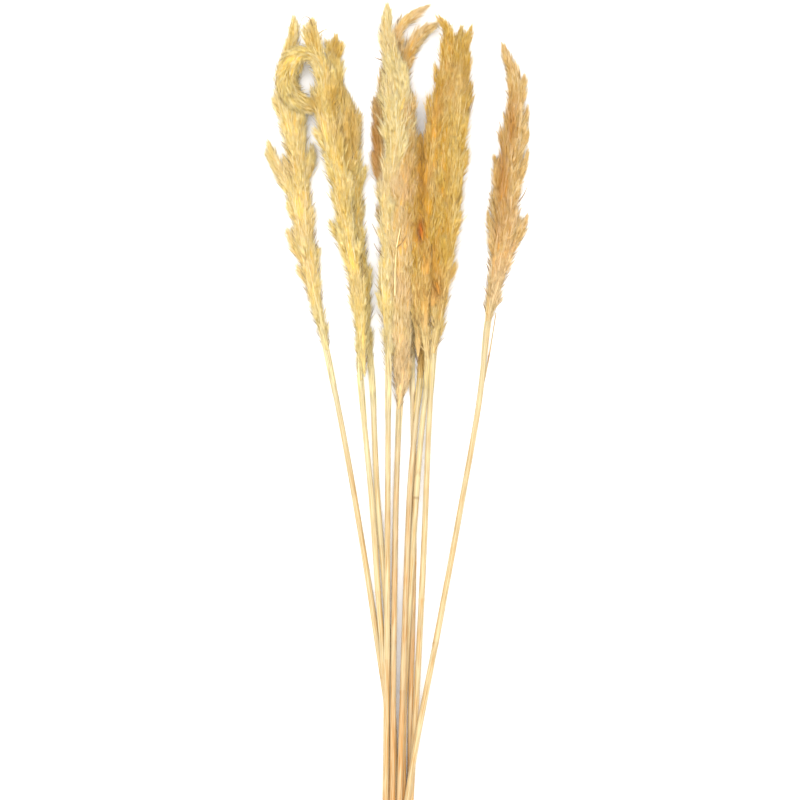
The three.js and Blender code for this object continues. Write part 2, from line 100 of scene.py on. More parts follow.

# The stalks, with their plumes from left to right. Places are x, y and z on a middle line.
#   culm          places from the cut end to the foot of the plume
#   plume         places from there to the tip, each with the plume's half width
#   joints        the culm's nodes: share of its length, length of the leaf sheath left above the
#                 node, and how dark it is
#   butt          painted shade: how deep an amber is painted on the culm towards its cut end, where the culms lie in each other's shade
#   branch        a thin side branch of the culm
#   side_locks    lobes that stand clear of the plume or fill it out, given as the plume is
#   awns          single stiff strands: how dark, and places
#   amber_spots   places of deeper colour, partly the fibres' own and partly painted shade in the gaps between plumes: x, y, half width, half length and strength
#   rust_spots    places of an orange colour, given in the same way
STALKS = (
    dict(
        name="far_left", culm_slot="straw", plume_slot="light_gold", butt=0.2,
        culm=((11.8, -532, 2.5), (-5, -423, 2.8), (-26, -285, 2.6), (-44, -181, 2.6), (-60, -101, 3.2)),
        plume=((-70, -55, 5, 6.6), (-74.5, -30, 6, 8.8), (-79.5, -8, 7, 11.4), (-81.5, 14, 8, 10),
               (-84, 37, 9, 12.8), (-85, 62, 9, 10), (-87, 80, 9, 11.4), (-91, 106, 9, 13.8),
               (-96, 138, 8, 12.6), (-95, 162, 6, 10.5), (-92.5, 176, 5, 7), (-91.5, 184, 4.5, 4.6),
               (-90.5, 196, 3.5, 4.4), (-90, 206, 2.5, 3.8)),
        joints=((0.23, 30, 0.5),),
        amber_spots=((-100, 157, 9, 12, 0.7), (-92, 186, 4, 10, 0.4), (-86, 60, 7, 20, 0.25)),
        side_locks=(((-84, 28, 9, 3), (-95, 51, 10, 4), (-104, 68, 10, 3.6), (-113, 89, 11, 1.2)),
                    ((-84, 26, 8, 3), (-99, 54, 8, 3.6), (-114.5, 80, 8, 1)),
                    ((-80, -22, 7, 3), (-88, -8, 7, 3.4), (-95, 8, 7, 0.8)),
                    ((-78, 54, 8, 3), (-74.5, 70, 8, 3.4), (-73, 86, 7, 0.8))),
    ),
    dict(
        name="nodding", culm_slot="pale_straw", plume_slot="gold", butt=1.0,
        culm=((-1, -539, 8), (-4.7, -423, 8.3), (-11.5, -331, 8.8), (-18, -239, 11), (-28, -129, 15)),
        plume=((-29, -83, 18, 3.6), (-31, -55, 20.5, 5.4), (-34, -28, 23, 8.2), (-39, -9, 25, 10),
               (-42, 20, 27.5, 9), (-45.5, 46, 28, 9.8), (-51.5, 74, 28, 11.5), (-57, 101, 28, 11.8),
               (-60.5, 129, 28, 11.6), (-61.5, 150, 27.5, 9.2), (-67.5, 164.5, 27, 8.2),
               (-78, 170.5, 25.5, 7.6), (-89, 166, 22, 9.6), (-96, 154, 18, 11.4),
               (-95.5, 141, 15.5, 11), (-88.5, 131, 15.5, 9.8), (-78, 125, 18, 8), (-68, 119, 20, 3.4)),
        joints=((0.52, 55, 0.06),),
        side_locks=(((-24, -126, 17, 2), (-26.5, -100, 19, 4.4), (-28, -70, 21, 6.4), (-33, -30, 23, 6)),
                    ((-64, 156, 27, 6), (-69, 176, 27, 7), (-71.5, 189, 27, 5.2), (-72.5, 200, 27, 1.8)),
                    ((-39, -10, 22, 3), (-46.5, 1, 22, 4.6), (-55, 15, 21, 1)),
                    ((-72, 168, 27, 5), (-75, 182, 27, 5.5), (-79, 193, 27, 1))),
        awns=((0.9, ((-71.5, 195, 30), (-75.5, 202.8, 31), (-80.6, 202.2, 31), (-82.6, 196.6, 30))),
              (0.7, ((-66, 188, 30), (-61.5, 191, 30), (-57.6, 192.4, 29)))),
        amber_spots=((-52, 128, 8, 20, 0.9), (-47, 92, 7, 24, 0.6), (-72, 184, 5, 9, 0.7),
                     (-70, 124, 8, 8, 0.8), (-44, 30, 6, 16, 0.4)),
    ),
    dict(
        name="inner_left", culm_slot="pale_straw", plume_slot="gold", butt=0.7,
        culm=((5, -534, 8), (1.2, -423, 8), (-5, -331, 7), (-12.5, -239, 5.5), (-18.5, -116, 3.5)),
        plume=((-22.5, -83, 4.5, 3.8), (-24.5, -55, 6, 6.2), (-27.5, -28, 7.5, 7), (-32, 0, 9, 8),
               (-35, 37, 9, 10), (-37.5, 69, 9, 12.4), (-40, 106, 9, 11.8), (-44, 126, 9, 9.5),
               (-50, 142, 8.5, 7.2), (-52.5, 162, 7, 5.8), (-53, 176, 5, 5), (-51.5, 189, 3, 2.6)),
        joints=((0.19, 25, 0.45), (0.6, 70, 0.06)),
        side_locks=(((-36, 40, 14, 4), (-43, 84, 19, 8), (-50, 126, 22, 8), (-54, 156, 20, 6),
                     (-54.5, 172, 14, 2)),
                    ((-38, 76, 12, 4), (-33, 98, 11, 4.6), (-29.5, 115, 11, 1)),
                    ((-52, 156, 9, 3), (-49, 170, 9, 3), (-46, 182, 8, 0.8)),
                    ((-54, 160, 9, 3), (-56.5, 173, 9, 3), (-58.5, 183, 8, 0.8))),
        amber_spots=((-38, 98, 8, 34, 0.8), (-51, 180, 7, 16, 0.9), (-46, 134, 6, 16, 0.7)),
    ),
    dict(
        name="cream", culm_slot="straw", plume_slot="cream", butt=0.6,
        culm=((-5.5, -537, 13.6), (-4, -423, 13.7), (-3, -239, 14), (-2.5, -124, 17)),
        plume=((-2.5, -92, 19, 4.2), (-3, -74, 20, 6), (-4, -41, 23, 9), (-2.5, -9, 25.5, 7.6),
               (-2.5, 18, 27.5, 8.6), (-2.5, 37, 28, 10.4), (0, 55, 28, 10.6), (4, 83, 28, 11.8),
               (5, 110, 28, 15.4), (5, 130, 28, 16.4), (3.5, 147, 28, 12), (0.6, 166, 27, 9),
               (-2.6, 183, 26, 6.4), (-4.6, 198, 25, 4.8), (-3.7, 213, 24, 3.8)),
        joints=((0.36, 45, 0.06),),
        awns=((0.9, ((-9.2, -1, 27), (-13.4, 6.6, 28), (-17.5, 14.7, 27))),
              (0.9, ((-6.4, -17, 26), (-11.4, -11, 27), (-15.6, -3.7, 26))),
              (0.9, ((5, -8, 34), (9, -5, 35.5), (13.5, 2, 35))),
              (0.6, ((4.6, -7, 34), (2.6, -4, 35), (0.4, -1, 34.5))),
              (0.0, ((3.6, -52, 31), (3.8, -28, 35), (5, -8, 36))),
              (0.0, ((5, -8, 35), (7, 2, 36), (8.6, 10, 35)))),
    ),
    dict(
        name="blush_left", culm_slot="amber_straw", plume_slot="blush", butt=0.8,
        culm=((1.3, -530, 13.5), (2, -423, 13.5), (2.8, -353, 12.5), (4.6, -239, 8), (8, -151, 3.5)),
        plume=((9, -124, 4.5, 5.6), (8.5, -104, 5, 7.2), (6, -55, 7, 6.8), (0, 0, 9, 7.8),
               (-3.5, 40, 9, 8), (-5.5, 70, 9, 9.6), (-5.5, 112, 9, 9.6), (-4, 140, 8, 6.8),
               (-2, 160, 8, 5.8), (2, 178, 7, 5.4), (8.5, 197, 10, 5),
               (19, 208, 11, 4.2), (33, 217, 9, 1.8)),
        joints=((0.42, 35, 0.08),),
        side_locks=(((7, -156, 6, 2), (8.5, -130, 11, 5.4), (8.5, -98, 17, 7.6), (7, -60, 22, 7),
                     (4, -30, 24, 3)),
                    ((-5, 42, 8, 3), (-10.5, 60, 9, 5), (-15, 80, 9, 1)),
                    ((-5, 66, 8, 3), (-11, 86, 9, 5.4), (-16, 106, 9, 1)),
                    ((-5, 92, 8, 3), (-10.5, 110, 9, 4.6), (-14.5, 130, 9, 1))),
        amber_spots=((-14, 90, 6, 44, 0.9), (6, 184, 5, 9, 0.3)),
        rust_spots=((-15, 90, 5, 40, 0.35),),
        awns=((0.9, ((-8, 164, 27), (-12, 165.5, 27), (-15.6, 167, 27))),),
    ),
    dict(
        name="blush_right", culm_slot="amber_straw", plume_slot="blush", butt=1.0,
        culm=((17.6, -535, 2.52), (18.4, -423, 2.5), (21, -285, 2.5), (20.7, -184, 2.5),
              (19.3, -106, 3)),
        plume=((19, -64, 5, 4.3), (17, 0, 8.5, 7.6), (15, 64, 9, 9), (13.5, 110, 9, 9),
               (10.5, 150, 8, 5.2), (14, 168, 7.5, 6), (20.5, 182, 9, 7.4), (28.5, 192, 10, 6.6),
               (38.5, 199, 8, 2.2)),
        joints=((0.55, 40, 0.06),),
        side_locks=(((16, -134, 8, 2.4), (14, -100, 15, 5), (11, -56, 22, 9.6), (9.5, -4, 28.5, 13),
                     (10, 50, 29, 13), (12.5, 92, 28, 10.4), (12.5, 128, 27, 9), (10, 152, 24, 2)),),
        amber_spots=((16.5, 172, 6, 10, 0.7), (18, 60, 8, 90, 0.5)),
        rust_spots=((26, 8, 2.6, 8, 1.0),),
    ),
    dict(
        name="under_gold", culm_slot="amber_straw", plume_slot="deep_gold", butt=1.0,
        culm=((7.2, -541, 13.5), (10.6, -423, 13.5), (17, -239, 9.2), (20.7, -190, 7.5),
              (27, -127, 5)),
        plume=((30, -83, 5, 5), (37, -28, 8, 9), (44, 37, 9, 11), (50, 101, 9, 11), (55, 147, 8, 8),
               (61, 175, 6, 4.6), (65, 196, 4, 2)),
        joints=((0.3, 50, 0.06),),
        amber_spots=((28, -112, 6, 18, 0.7),),
    ),
    dict(
        name="gold_left", culm_slot="pale_straw", plume_slot="deep_gold", butt=1.0,
        culm=((11.1, -529, 8), (12.4, -423, 8), (20.7, -276, 8), (26.7, -193, 11.5), (34, -109, 17)),
        plume=((31.5, -87, 19, 4.2), (30.8, -60, 21.5, 6.8), (31, -18, 25, 10), (32.5, 18, 27.5, 10.4),
               (35.5, 55, 28, 10.8), (40, 92, 28, 11), (45.5, 124, 28, 10), (51.5, 161, 27, 8),
               (52.5, 179, 26, 7.4), (51.5, 192, 25.5, 4), (43, 205, 25, 2.2)),
        joints=((0.69, 26, 0.75),),
        amber_spots=((29, 60, 7, 66, 0.95), (43, 120, 6, 34, 0.5), (40, -30, 6, 30, 0.6)),
        rust_spots=((27, 8, 3.4, 10, 1.0), (27, 44, 3, 22, 0.15), (42.3, -44, 4, 7, 0.4)),
        side_locks=(((38, -70, 21, 3), (43, -10, 28, 7), (48, 50, 31, 9), (54, 110, 31, 10),
                     (59.5, 156, 29, 6.4), (62, 182, 27, 1.6)),
                    ((29.5, -3, 33, 1.6), (27.6, 7, 36, 3.4), (25.6, 18, 34, 0.6)),
                    ((44, -51, 30, 1.6), (42.6, -44, 33, 3.6), (40.4, -36, 32, 0.6)),
                    ((25, -108, 11, 3), (25, -76, 18, 5.4), (23.5, -24, 26, 7), (23, 20, 28, 8),
                     (24, 60, 28, 7.4), (26.5, 94, 25, 2))),
    ),
    dict(
        name="gold_right", culm_slot="straw", plume_slot="deep_gold", butt=0.5,
        culm=((17.1, -535, 8), (23.5, -423, 8), (30, -294, 9), (34.5, -184, 12.5), (39, -104, 17)),
        plume=((42.5, -78, 19.5, 4.9), (46.5, -46, 22, 7.2), (51, 0, 27, 10), (56, 46, 28, 10.6),
               (59.5, 92, 28, 10.8), (63, 124, 28, 10), (65, 154, 27, 6.8), (68.5, 175, 26, 2.8),
               (73.5, 194, 25, 1.5)),
        joints=((0.47, 60, 0.05),),
        awns=((0.8, ((66, 122, 27), (71, 131, 27), (75.5, 141, 26))),
              (0.8, ((68, 110, 27), (73, 119, 27), (76.5, 131, 26)))),
        amber_spots=((42.3, -44, 5, 12, 1.0), (50, 60, 5, 50, 0.6), (68, 150, 5, 26, 0.4)),
        rust_spots=((42.3, -44, 4, 7, 0.4),),
    ),
    dict(
        name="far_right", culm_slot="straw", plume_slot="tan", butt=0.1,
        culm=((13.3, -526, 13.5), (22.5, -469, 13.5), (32, -419, 12.8), (42, -368, 11), (66, -239, 7),
              (82, -147, 4), (90, -74, 3)),
        plume=((94, -50, 5, 6.6), (99.5, -28, 6.5, 9.6), (102.5, -9, 8, 12.4), (105.5, 14, 9, 14),
               (105.5, 37, 9, 13.6), (108, 60, 9, 13.6), (111.5, 80, 9, 11.6), (113.5, 101, 9, 10.4),
               (115, 124, 8.5, 9), (116, 141, 8, 7), (112.5, 154, 7, 4.6), (109, 166, 5, 3.9),
               (104.5, 181, 3, 2.6)),
        joints=((0.34, 65, 0.4),),
        side_locks=(((115, 84, 8, 2), (121.5, 103, 8, 2.4), (127, 123, 8, 0.2)),
                    ((112, 40, 8, 2), (119.5, 60, 8, 2.6), (126.5, 82, 8, 0.2)),
                    ((107, -20, 8, 2), (116, 1, 8, 3.4), (126, 22, 8, 0.4)),
                    ((114, 124, 8, 2), (119.5, 138, 8, 2.6), (123.5, 151, 8, 0.4)),
                    ((110, 66, 8, 2), (118, 82, 8, 2.6), (126.5, 98, 8, 0.2)),
                    ((101, -12, 8, 2), (95, 5, 8, 2.4), (90, 24, 8, 0.2)),
                    ((106, 40, 8, 2), (100.5, 57, 8, 2.2), (96, 77, 8, 0.2))),
        amber_spots=((103, 58, 6, 40, 0.95), (111, 106, 5, 26, 0.9), (98, 10, 4, 20, 0.6),
                     (108, 20, 3, 26, 0.5)),
        awns=((0.8, ((119, 100, 9), (124, 107, 9), (129.5, 115.5, 9))),
              (0.8, ((118, 82, 9), (124, 88, 9), (128.6, 96, 9))),
              (0.8, ((118, 36, 9), (123, 43, 9), (127, 52.5, 9))),
              (0.8, ((107, 93, 9), (103, 101, 9), (100, 111, 9))),
              (0.8, ((109, 106, 9), (106, 113, 9), (103.6, 121, 9))),
              (0.8, ((102, 60, 9), (98, 68, 9), (95.6, 79, 9))),
              (0.8, ((93, -54, 7), (89, -48, 7), (85, -41, 7)))),
        branch=((83.7, -141, 4), (91, -106, 4.5), (97.5, -66, 5)),
    ),
)

# Colours of single strands. A mass of fibres looks deeper than one of them, because light passes
# from fibre to fibre. Each is the default of a setting named after its slot and its place.
# The deep colour is partly the fibres' own darker roots and partly painted shade: a saturated gold
# painted on the shaded inside of the plume, as if lit by light passing through the fibres.
FIBRE_COLOURS = {
    "light_gold": ("f0c858", "f9e08c", "fdefc6", "eabf48"),
    "gold": ("eabf4a", "f5dc84", "faecbc", "e2b23c"),
    "cream": ("eec860", "f4dd92", "f9edc6", "eac45c"),
    "blush": ("e8b64c", "f0d288", "f8e6be", "d49c3a"),
    "deep_gold": ("cc8e0a", "e3b840", "f5e0a0", "c68c18"),
    "tan": ("d4962c", "ebc46e", "fbe8be", "cb8c32"),
}
FIBRE_PLACES = {
    "deep": "by the rachis",
    "middle": "half way out",
    "pale": "at the tips",
    # The amber spots are partly painted shade in the gaps between plumes
    "amber": "in the amber spots",
}
STRAW_COLOURS = {
    "straw": ("c9b589", "b28546", "7a522b"),
    "pale_straw": ("ccbb8f", "b89153", "7d5c37"),
    "amber_straw": ("c5ad83", "b07c3c", "734a26"),
}
STRAW_PLACES = {
    "pale": "between the streaks",
    "amber": "in the streaks",
    "stain": "in the stains at the nodes",
}
SHARED_COLOURS = {
    "culm_bloom": ("beba98", "Waxy bloom in patches on the culms"),
    "culm_crown": ("c0b792", "Culms just below their plumes"),
    "culm_butt": ("b67c34", "Culms near their cut ends"),
    # Painted shade: deep amber on the culms near their cut ends, where they lie in each other's shade
    "culm_pith": ("f3e9cf", "Pith in the cut ends"),
    "plume_foot": ("ecdfae", "Fibres at the foot of a plume"),
    "plume_patch": ("fad6a8", "Blush patches in the plumes"),
    "plume_rust": ("b8600c", "Fibres in the rust spots"),
    "plume_bristle": ("7a5530", "The darkest bristles and awns"),
}
SHEEN_TINT = (1.0, 0.85, 0.6, 1.0)
FLOOR_COLOUR = (0.93, 0.93, 0.93, 1.0)


def linear(code):
    """A colour's sRGB hex code as linear red, green, blue and an alpha of 1."""
    shares = [int(code[i:i + 2], 16) / 255 for i in (0, 2, 4)]
    return tuple(s / 12.92 if s <= 0.04045 else ((s + 0.055) / 1.055) ** 2.4 for s in shares) + (1.0,)


# ---------------------------------------------------------------------------------------------
# Lines


def unit(vectors):
    """Each vector divided by its own length."""
    return vectors / np.linalg.norm(vectors, axis=-1, keepdims=True)


def spline(places, divisions=SPAN_DIVISIONS):
    """Points along a smooth curve through the places, with half widths in the fourth column.

    Each span from one place to the next is the cubic that starts and ends in the two places, with
    end slopes that weigh the neighbouring spans by the square roots of their lengths.
    """
    spots = np.array(places, float)
    spots = np.vstack([2 * spots[0] - spots[1], spots, 2 * spots[-1] - spots[-2]])
    share = np.arange(divisions)[:, None] / divisions
    spans = []
    for before, start, end, after in zip(spots, spots[1:], spots[2:], spots[3:]):
        reach0 = math.sqrt(np.linalg.norm((start - before)[:3]))
        reach1 = math.sqrt(np.linalg.norm((end - start)[:3]))
        reach2 = math.sqrt(np.linalg.norm((after - end)[:3]))
        slope0 = ((start - before) / reach0 - (end - before) / (reach0 + reach1)) * reach1 + end - start
        slope1 = end - start - ((after - start) / (reach1 + reach2) - (after - end) / reach2) * reach1
        square = 3 * (end - start) - 2 * slope0 - slope1
        cube = 2 * (start - end) + slope0 + slope1
        spans.append(start + slope0 * share + square * share ** 2 + cube * share ** 3)
    return np.vstack(spans + [spots[-2:-1]])


class Line:
    """A middle line, measured by the distance along it, with a half width at each place."""

    def __init__(self, places):
        route = spline(places)
        self.points = route[:, :3]
        self.half_widths = np.maximum(route[:, 3], LEAST_HALF_WIDTH)
        steps = np.linalg.norm(np.diff(self.points, axis=0), axis=1)
        self.distance = np.concatenate([[0.0], np.cumsum(steps)])
        self.length = self.distance[-1]
        self.slope = unit(np.gradient(self.points, self.distance, axis=0))

    def at(self, distance):
        """The place and the along, side and up directions at each distance.

        Side is along crossed with +Z, and up is side crossed with along. Past the end the line
        goes on straight.
        """
        inside = np.clip(distance, 0, self.length)
        centre = np.stack([np.interp(inside, self.distance, self.points[:, i]) for i in range(3)], -1)
        along = unit(np.stack([np.interp(inside, self.distance, self.slope[:, i]) for i in range(3)], -1))
        centre = centre + along * (distance - inside)[..., None]
        side = unit(np.cross(along, (0.0, 0.0, 1.0)))
        return centre, along, side, np.cross(side, along)


def stalk_line(stalk):
    """The stalk's whole middle line, and the distance along it at which the plume begins."""
    culm = tuple(place + (FOOT_HALF_WIDTH,) for place in stalk["culm"])
    line = Line(culm + stalk["plume"])
    return line, line.distance[SPAN_DIVISIONS * (len(culm) - 1)]


# ---------------------------------------------------------------------------------------------
# Meshes


def write_piece(name, points, triangles, attributes, material, node):
    """A mesh object from points in millimetres, standing for a CAD node on the root body."""
    mesh = bpy.data.meshes.new(name)
    mesh.vertices.add(len(points))
    mesh.vertices.foreach_set("co", (points * MM).astype(np.float32).ravel())
    mesh.loops.add(triangles.size)
    mesh.loops.foreach_set("vertex_index", triangles.astype(np.int32).ravel())
    mesh.polygons.add(len(triangles))
    mesh.polygons.foreach_set("loop_start", np.arange(0, triangles.size, 3, dtype=np.int32))
    mesh.update(calc_edges=True)
    mesh.shade_smooth()
    for label, values in attributes.items():
        kind, field = ("FLOAT_VECTOR", "vector") if values.ndim == 2 else ("FLOAT", "value")
        attribute = mesh.attributes.new(label, kind, "POINT")
        attribute.data.foreach_set(field, values.astype(np.float32).ravel())
    mesh.materials.append(material)
    piece = bpy.data.objects.new(name, mesh)
    bpy.context.scene.collection.objects.link(piece)
    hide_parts(node)
    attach(piece, "root")


class Shell:
    """Closed surfaces gathered into one mesh, with one value of each attribute for each point."""

    def __init__(self):
        self.points = []
        self.triangles = []
        self.attributes = {}
        self.count = 0

    def add(self, points, triangles, **attributes):
        """Take in a closed surface, with values for each of its points."""
        self.points.append(points)
        self.triangles.append(triangles + self.count)
        self.count += len(points)
        for label, values in attributes.items():
            self.attributes.setdefault(label, []).append(values)

    def write(self, name, material, slot, node):
        """Make the mesh object that stands for a CAD node."""
        joined = {label: np.concatenate(values) for label, values in self.attributes.items()}
        write_piece(name, np.vstack(self.points), np.vstack(self.triangles), joined, material, node)


def tube_triangles(rows, columns):
    """Triangles of a tube of rows rings, with a middle point before the first and after the last."""
    row, column = np.meshgrid(np.arange(rows - 1), np.arange(columns), indexing="ij")
    following = (column + 1) % columns
    a, b = 1 + row * columns + column, 1 + row * columns + following
    c, d = b + columns, a + columns
    sides = np.concatenate([np.stack(corners, -1).reshape(-1, 3) for corners in ((a, b, c), (a, c, d))])
    ring = np.arange(columns)
    turn = (ring + 1) % columns
    last = 1 + (rows - 1) * columns
    foot = np.stack([np.zeros_like(ring), 1 + turn, 1 + ring], -1)
    head = np.stack([last + ring, last + turn, np.full_like(ring, last + columns)], -1)
    return np.concatenate([foot, sides, head])


def tube(line, distance, radius, columns):
    """A closed tube of round section carried along a line."""
    centre, _, side, up = line.at(distance)
    angle = np.arange(columns) * math.tau / columns
    ring = side[:, None] * np.cos(angle)[None, :, None] - up[:, None] * np.sin(angle)[None, :, None]
    rings = centre[:, None] + ring * radius[:, None, None]
    points = np.vstack([centre[:1], rings.reshape(-1, 3), centre[-1:]])
    return points, tube_triangles(len(distance), columns)


def strand(places, radii, rows):
    """A closed tube of six sides through places, whose radius falls evenly from root to tip."""
    line = Line(tuple(place + (1.0,) for place in places))
    return tube(line, np.linspace(0, line.length, rows), np.linspace(*radii, rows), 6)


def needles(spine, radius, turn, tapers):
    """Closed three-sided needles.

    Each has a root point, one ring for each inner point of its spine and a tip point. A ring's
    corners stand a third of a turn apart round the needle's own direction, at the needle's radius
    times that ring's taper.
    """
    count, spots = spine.shape[:2]
    along = unit(spine[:, -1] - spine[:, 0])
    reference = np.where(np.abs(along[:, 2:]) < 0.9, (0.0, 0.0, 1.0), (1.0, 0.0, 0.0))
    across = unit(np.cross(along, reference))
    other = np.cross(along, across)
    points = [spine[:, :1]]
    for ring, taper in enumerate(tapers, start=1):
        for corner in range(3):
            angle = turn + corner * math.tau / 3
            offset = across * np.cos(angle)[:, None] + other * np.sin(angle)[:, None]
            points.append((spine[:, ring] + offset * (radius * taper)[:, None])[:, None])
    points.append(spine[:, -1:])
    points = np.concatenate(points, axis=1)
    triangles = tube_triangles(spots - 2, 3)
    starts = np.arange(count) * points.shape[1]
    return points.reshape(-1, 3), (starts[:, None, None] + triangles).reshape(-1, 3)


def needle_values(values, tapers):
    """One value for each point of each needle, from one value for each point of its spine."""
    repeats = [1] + [3] * len(tapers) + [1]
    return np.repeat(values, repeats, axis=1).ravel()


def smooth_step(low, high, value):
    """0 below low and 1 above high, with the cubic 3 s squared - 2 s cubed between them."""
    share = np.clip((value - low) / (high - low), 0, 1)
    return share * share * (3 - 2 * share)


def slimmed(least, full):
    """A share that is 1 where full is 1, and falls evenly to least where full is 0."""
    return least + (1 - least) * full


# ---------------------------------------------------------------------------------------------
# Plumes

# Lengths are in millimetres and angles in radians, and the rest are shares and counts. A pair is
# the range of an even draw, or the two measures of a gamma or a normal one. Three numbers are for
# a spine's root, middle and tip.
RACHIS = SimpleNamespace(radius=2.0, loss=0.82, power=0.8, rows=60, first=0.1, last_gap=2,
                         depth=0.5, tone=0.6)
ENDS = SimpleNamespace(tip_reach=3.0, rounding=3, bluntness=2.5, foot_rounding=12, least=0.02)
BRANCH = SimpleNamespace(spirals=3, spacing=42.0, waver=0.3, drift=0.2, drift_span=31)
CORE = SimpleNamespace(row_span=50, least_rows=8, first=0.5, last_gap=3.0, ending=26,
                       least_ending=0.02, ridge=0.16, depth=(0.15, 0.55), tone=(0.0, 0.5))
LOCK = SimpleNamespace(first=-4.0, last_gap=3.0, least_count=3, spread=(0.7, 1.3), wander=0.6,
                       thin_length=0.45, sweep=0.4, sweep_span=27, gather=0.35,
                       end_share=(0.6, 1.0), end_gap=5, turn_spread=0.22, least_reach=0.7,
                       branch_reach=0.38, reach_spread=0.07, lift_gamma=(2.2, 0.9), thin_lift=0.25,
                       least_lift=0.35, branch_lift=1.3, lift_power=1.5, thin_width=0.4,
                       widest_at=0.34, swell_power=0.6, tip_loss=0.92, narrow_power=1.1)
FIBRE = SimpleNamespace(start=(0.0, 0.52), run=(0.4, 0.7), sideways=0.55, widest=1.4, stray=4.0,
                        stray_width=0.7, flare_gamma=(1.5, 0.3), drift=0.4, steepest=1.1,
                        root_reach=0.3, reach_power=0.75, thickness=0.4, tone_spread=0.08,
                        depth_reach=0.6, depth_along=0.4, depth_loss=0.06)
SPIKELET = SimpleNamespace(fibres=5, root=0.62, branch_root=0.24, root_spread=(0.85, 1.08),
                           slope=(0.1, 0.42), lean=0.17, length=(12, 20), thin_length=0.4,
                           tone=(0.1, 1.0), scatter=0.9, sunk=(0, 2.5), tip_scatter=0.3,
                           short_gamma=(1.5, 1.3), middle=0.45, sag=(0, 0.8),
                           width=(0.7, 1.2), depth=(0.55, 0.78, 1.0), depth_spread=(0.85, 1.0))
DOWN = SimpleNamespace(root=0.54, branch_root=0.26, root_spread=(0.75, 1.1), slope=(0.06, 0.42),
                       lean=0.22, length=(9, 18), thin_length=0.45, width=(0.6, 1.0),
                       depth=(0.42, 0.66, 1.0), depth_spread=(0.8, 1.0), tone=(0.5, 0.2))
TUFT = SimpleNamespace(spacing=12.5, columns=6, core_reach=0.3, bristles=0.3, half_width=4.6,
                       half_thickness=3.2, length=(26, 40), last_gap=26, place=(0.1, 0.9),
                       wander=0.4, reach=(0.45, 0.8, 1.05), lift=(0.5, 4.5),
                       widths=(0.6, 1.0, 0.25), thin_length=0.5, thin_size=0.4, least_owner=120)
BRISTLE = SimpleNamespace(station=(0.0, 0.95), wander=0.3, length=(8, 15), root_reach=0.72,
                          rise=0.3, lift=(1.5, 6.5), dark=(0.25, 1.0), radius=(0.18, 0.34),
                          depth=0.8, tone=0.5)
STRAND = SimpleNamespace(length=(26, 58), overrun=6, sweep=0.28, root_reach=0.66, rise=0.36,
                         rise_power=0.6, lift=(0.5, 2.6), thin_lift=0.3, tone=(0.5, 1.0),
                         radius=(0.16, 0.26), depth=0.9)
TWIG = SimpleNamespace(count=46, station=(-46, 22), length=(26, 52), gap=0.15, loosening=0.5,
                       radius=0.3, depth=0.85, tone=(0.3, 1), foot=0.5, opening=0.7)
AWN = SimpleNamespace(radii=(0.55, 0.22), rows=14, depth=0.8, tone=0.5)
THIN_LEAN = 0.35
FIBRE_TAPERS = (1.0,)
SPIKELET_TAPERS = (1.1,)
STRAND_TAPERS = (1.0, 0.8)
SCATTER_FIRST = -3.0
SCATTER_BEYOND = 1.0
STATION_STEP = 0.5
UPWARD_DRAW = 0.35
HALFWAY = np.array([0.0, 0.5, 1.0])
EARLY_BEND = np.array([0.0, 0.4, 1.0])
DOWN_BEND = np.array([0.0, 0.45, 1.0])
STRAND_BENDS = np.array([0.0, 0.35, 0.7, 1.0])
TWIG_BENDS = np.array([0.0, 0.34, 0.7, 1.0])


class Lobe:
    """A feathery form along a line, from its foot to its tip, oval in section.

    A station is a distance from the foot. The section is the line's half width across. Up and down
    it is the half thickness times the half width's share of the widest one, and no deeper than the
    floor. A tuft is a small lobe with a thinner core and fewer bristles.
    """

    def __init__(self, line, foot=0.0, half_thickness=HALF_THICKNESS, tuft=False):
        self.line = line
        self.foot = foot
        self.length = line.length - foot
        self.widest = line.half_widths[line.distance >= foot].max()
        self.half_thickness = half_thickness
        self.phase = line.length % 1
        self.columns = TUFT.columns if tuft else CORE_COLUMNS
        self.core_reach = TUFT.core_reach if tuft else CORE_REACH
        self.bristles = TUFT.bristles if tuft else EDGE_BRISTLES

    def half_width(self, station):
        """The line's half width, rounded off at the tip by the square root of the share left.

        A side lobe, whose foot is the line's own start, is rounded off there in the same way.
        """
        rounding = ENDS.rounding + ENDS.bluntness * self.line.half_widths[-1]
        share = np.clip((self.length + ENDS.tip_reach - station) / rounding, ENDS.least, 1)
        if self.foot == 0:
            share = share * np.clip((station + 1) / ENDS.foot_rounding, ENDS.least, 1)
        full = np.interp(self.foot + station, self.line.distance, self.line.half_widths)
        return BODY_SHARE * full * np.sqrt(share)

    def girth(self, station):
        """The section's girth, as that of a circle of the mean of its two half widths."""
        half_width = self.half_width(station)
        return math.pi * half_width * (1 + self.half_thickness / self.widest)

    def area(self):
        """The area of the lobe's side, as the sum of its girths a millimetre apart."""
        return self.girth(np.arange(0.0, self.length)).sum()

    def place(self, station, angle, reach):
        """Places at a reach from 0 on the line to 1 at the outline, with outward and along."""
        centre, along, side, up = self.line.at(self.foot + station)
        half_width = self.half_width(station)
        half_thickness = self.half_thickness * half_width / self.widest
        across, rising = np.cos(angle), np.sin(angle)
        depth = np.where(rising < 0, np.minimum(half_thickness, centre[..., 2] - LOWEST), half_thickness)
        outward = unit(side * (across * depth)[..., None] + up * (rising * half_width)[..., None])
        offset = side * (across * half_width)[..., None] + up * (rising * depth)[..., None]
        return centre + offset * reach[..., None], outward, along


def branch_share(station, angle, phase):
    """How far along its branch a place of the plume is, from 0 where one begins to 1 at its tip.

    The branches lie in three spirals, like shingles: the share grows with the station and with
    the angle, wavers a little with both, and falls back to 0 where the next branch begins.
    """
    turn = (BRANCH.spirals * angle / math.tau + BRANCH.waver * np.sin(2 * angle + phase)
            + BRANCH.drift * np.sin(station / BRANCH.drift_span + phase))
    return np.mod(station / BRANCH.spacing + turn + phase, 1.0)


def upper_angles(angle):
    """Angles round the lobe, drawn towards its upper side, where the bunch is seen."""
    return angle + UPWARD_DRAW * np.cos(angle)


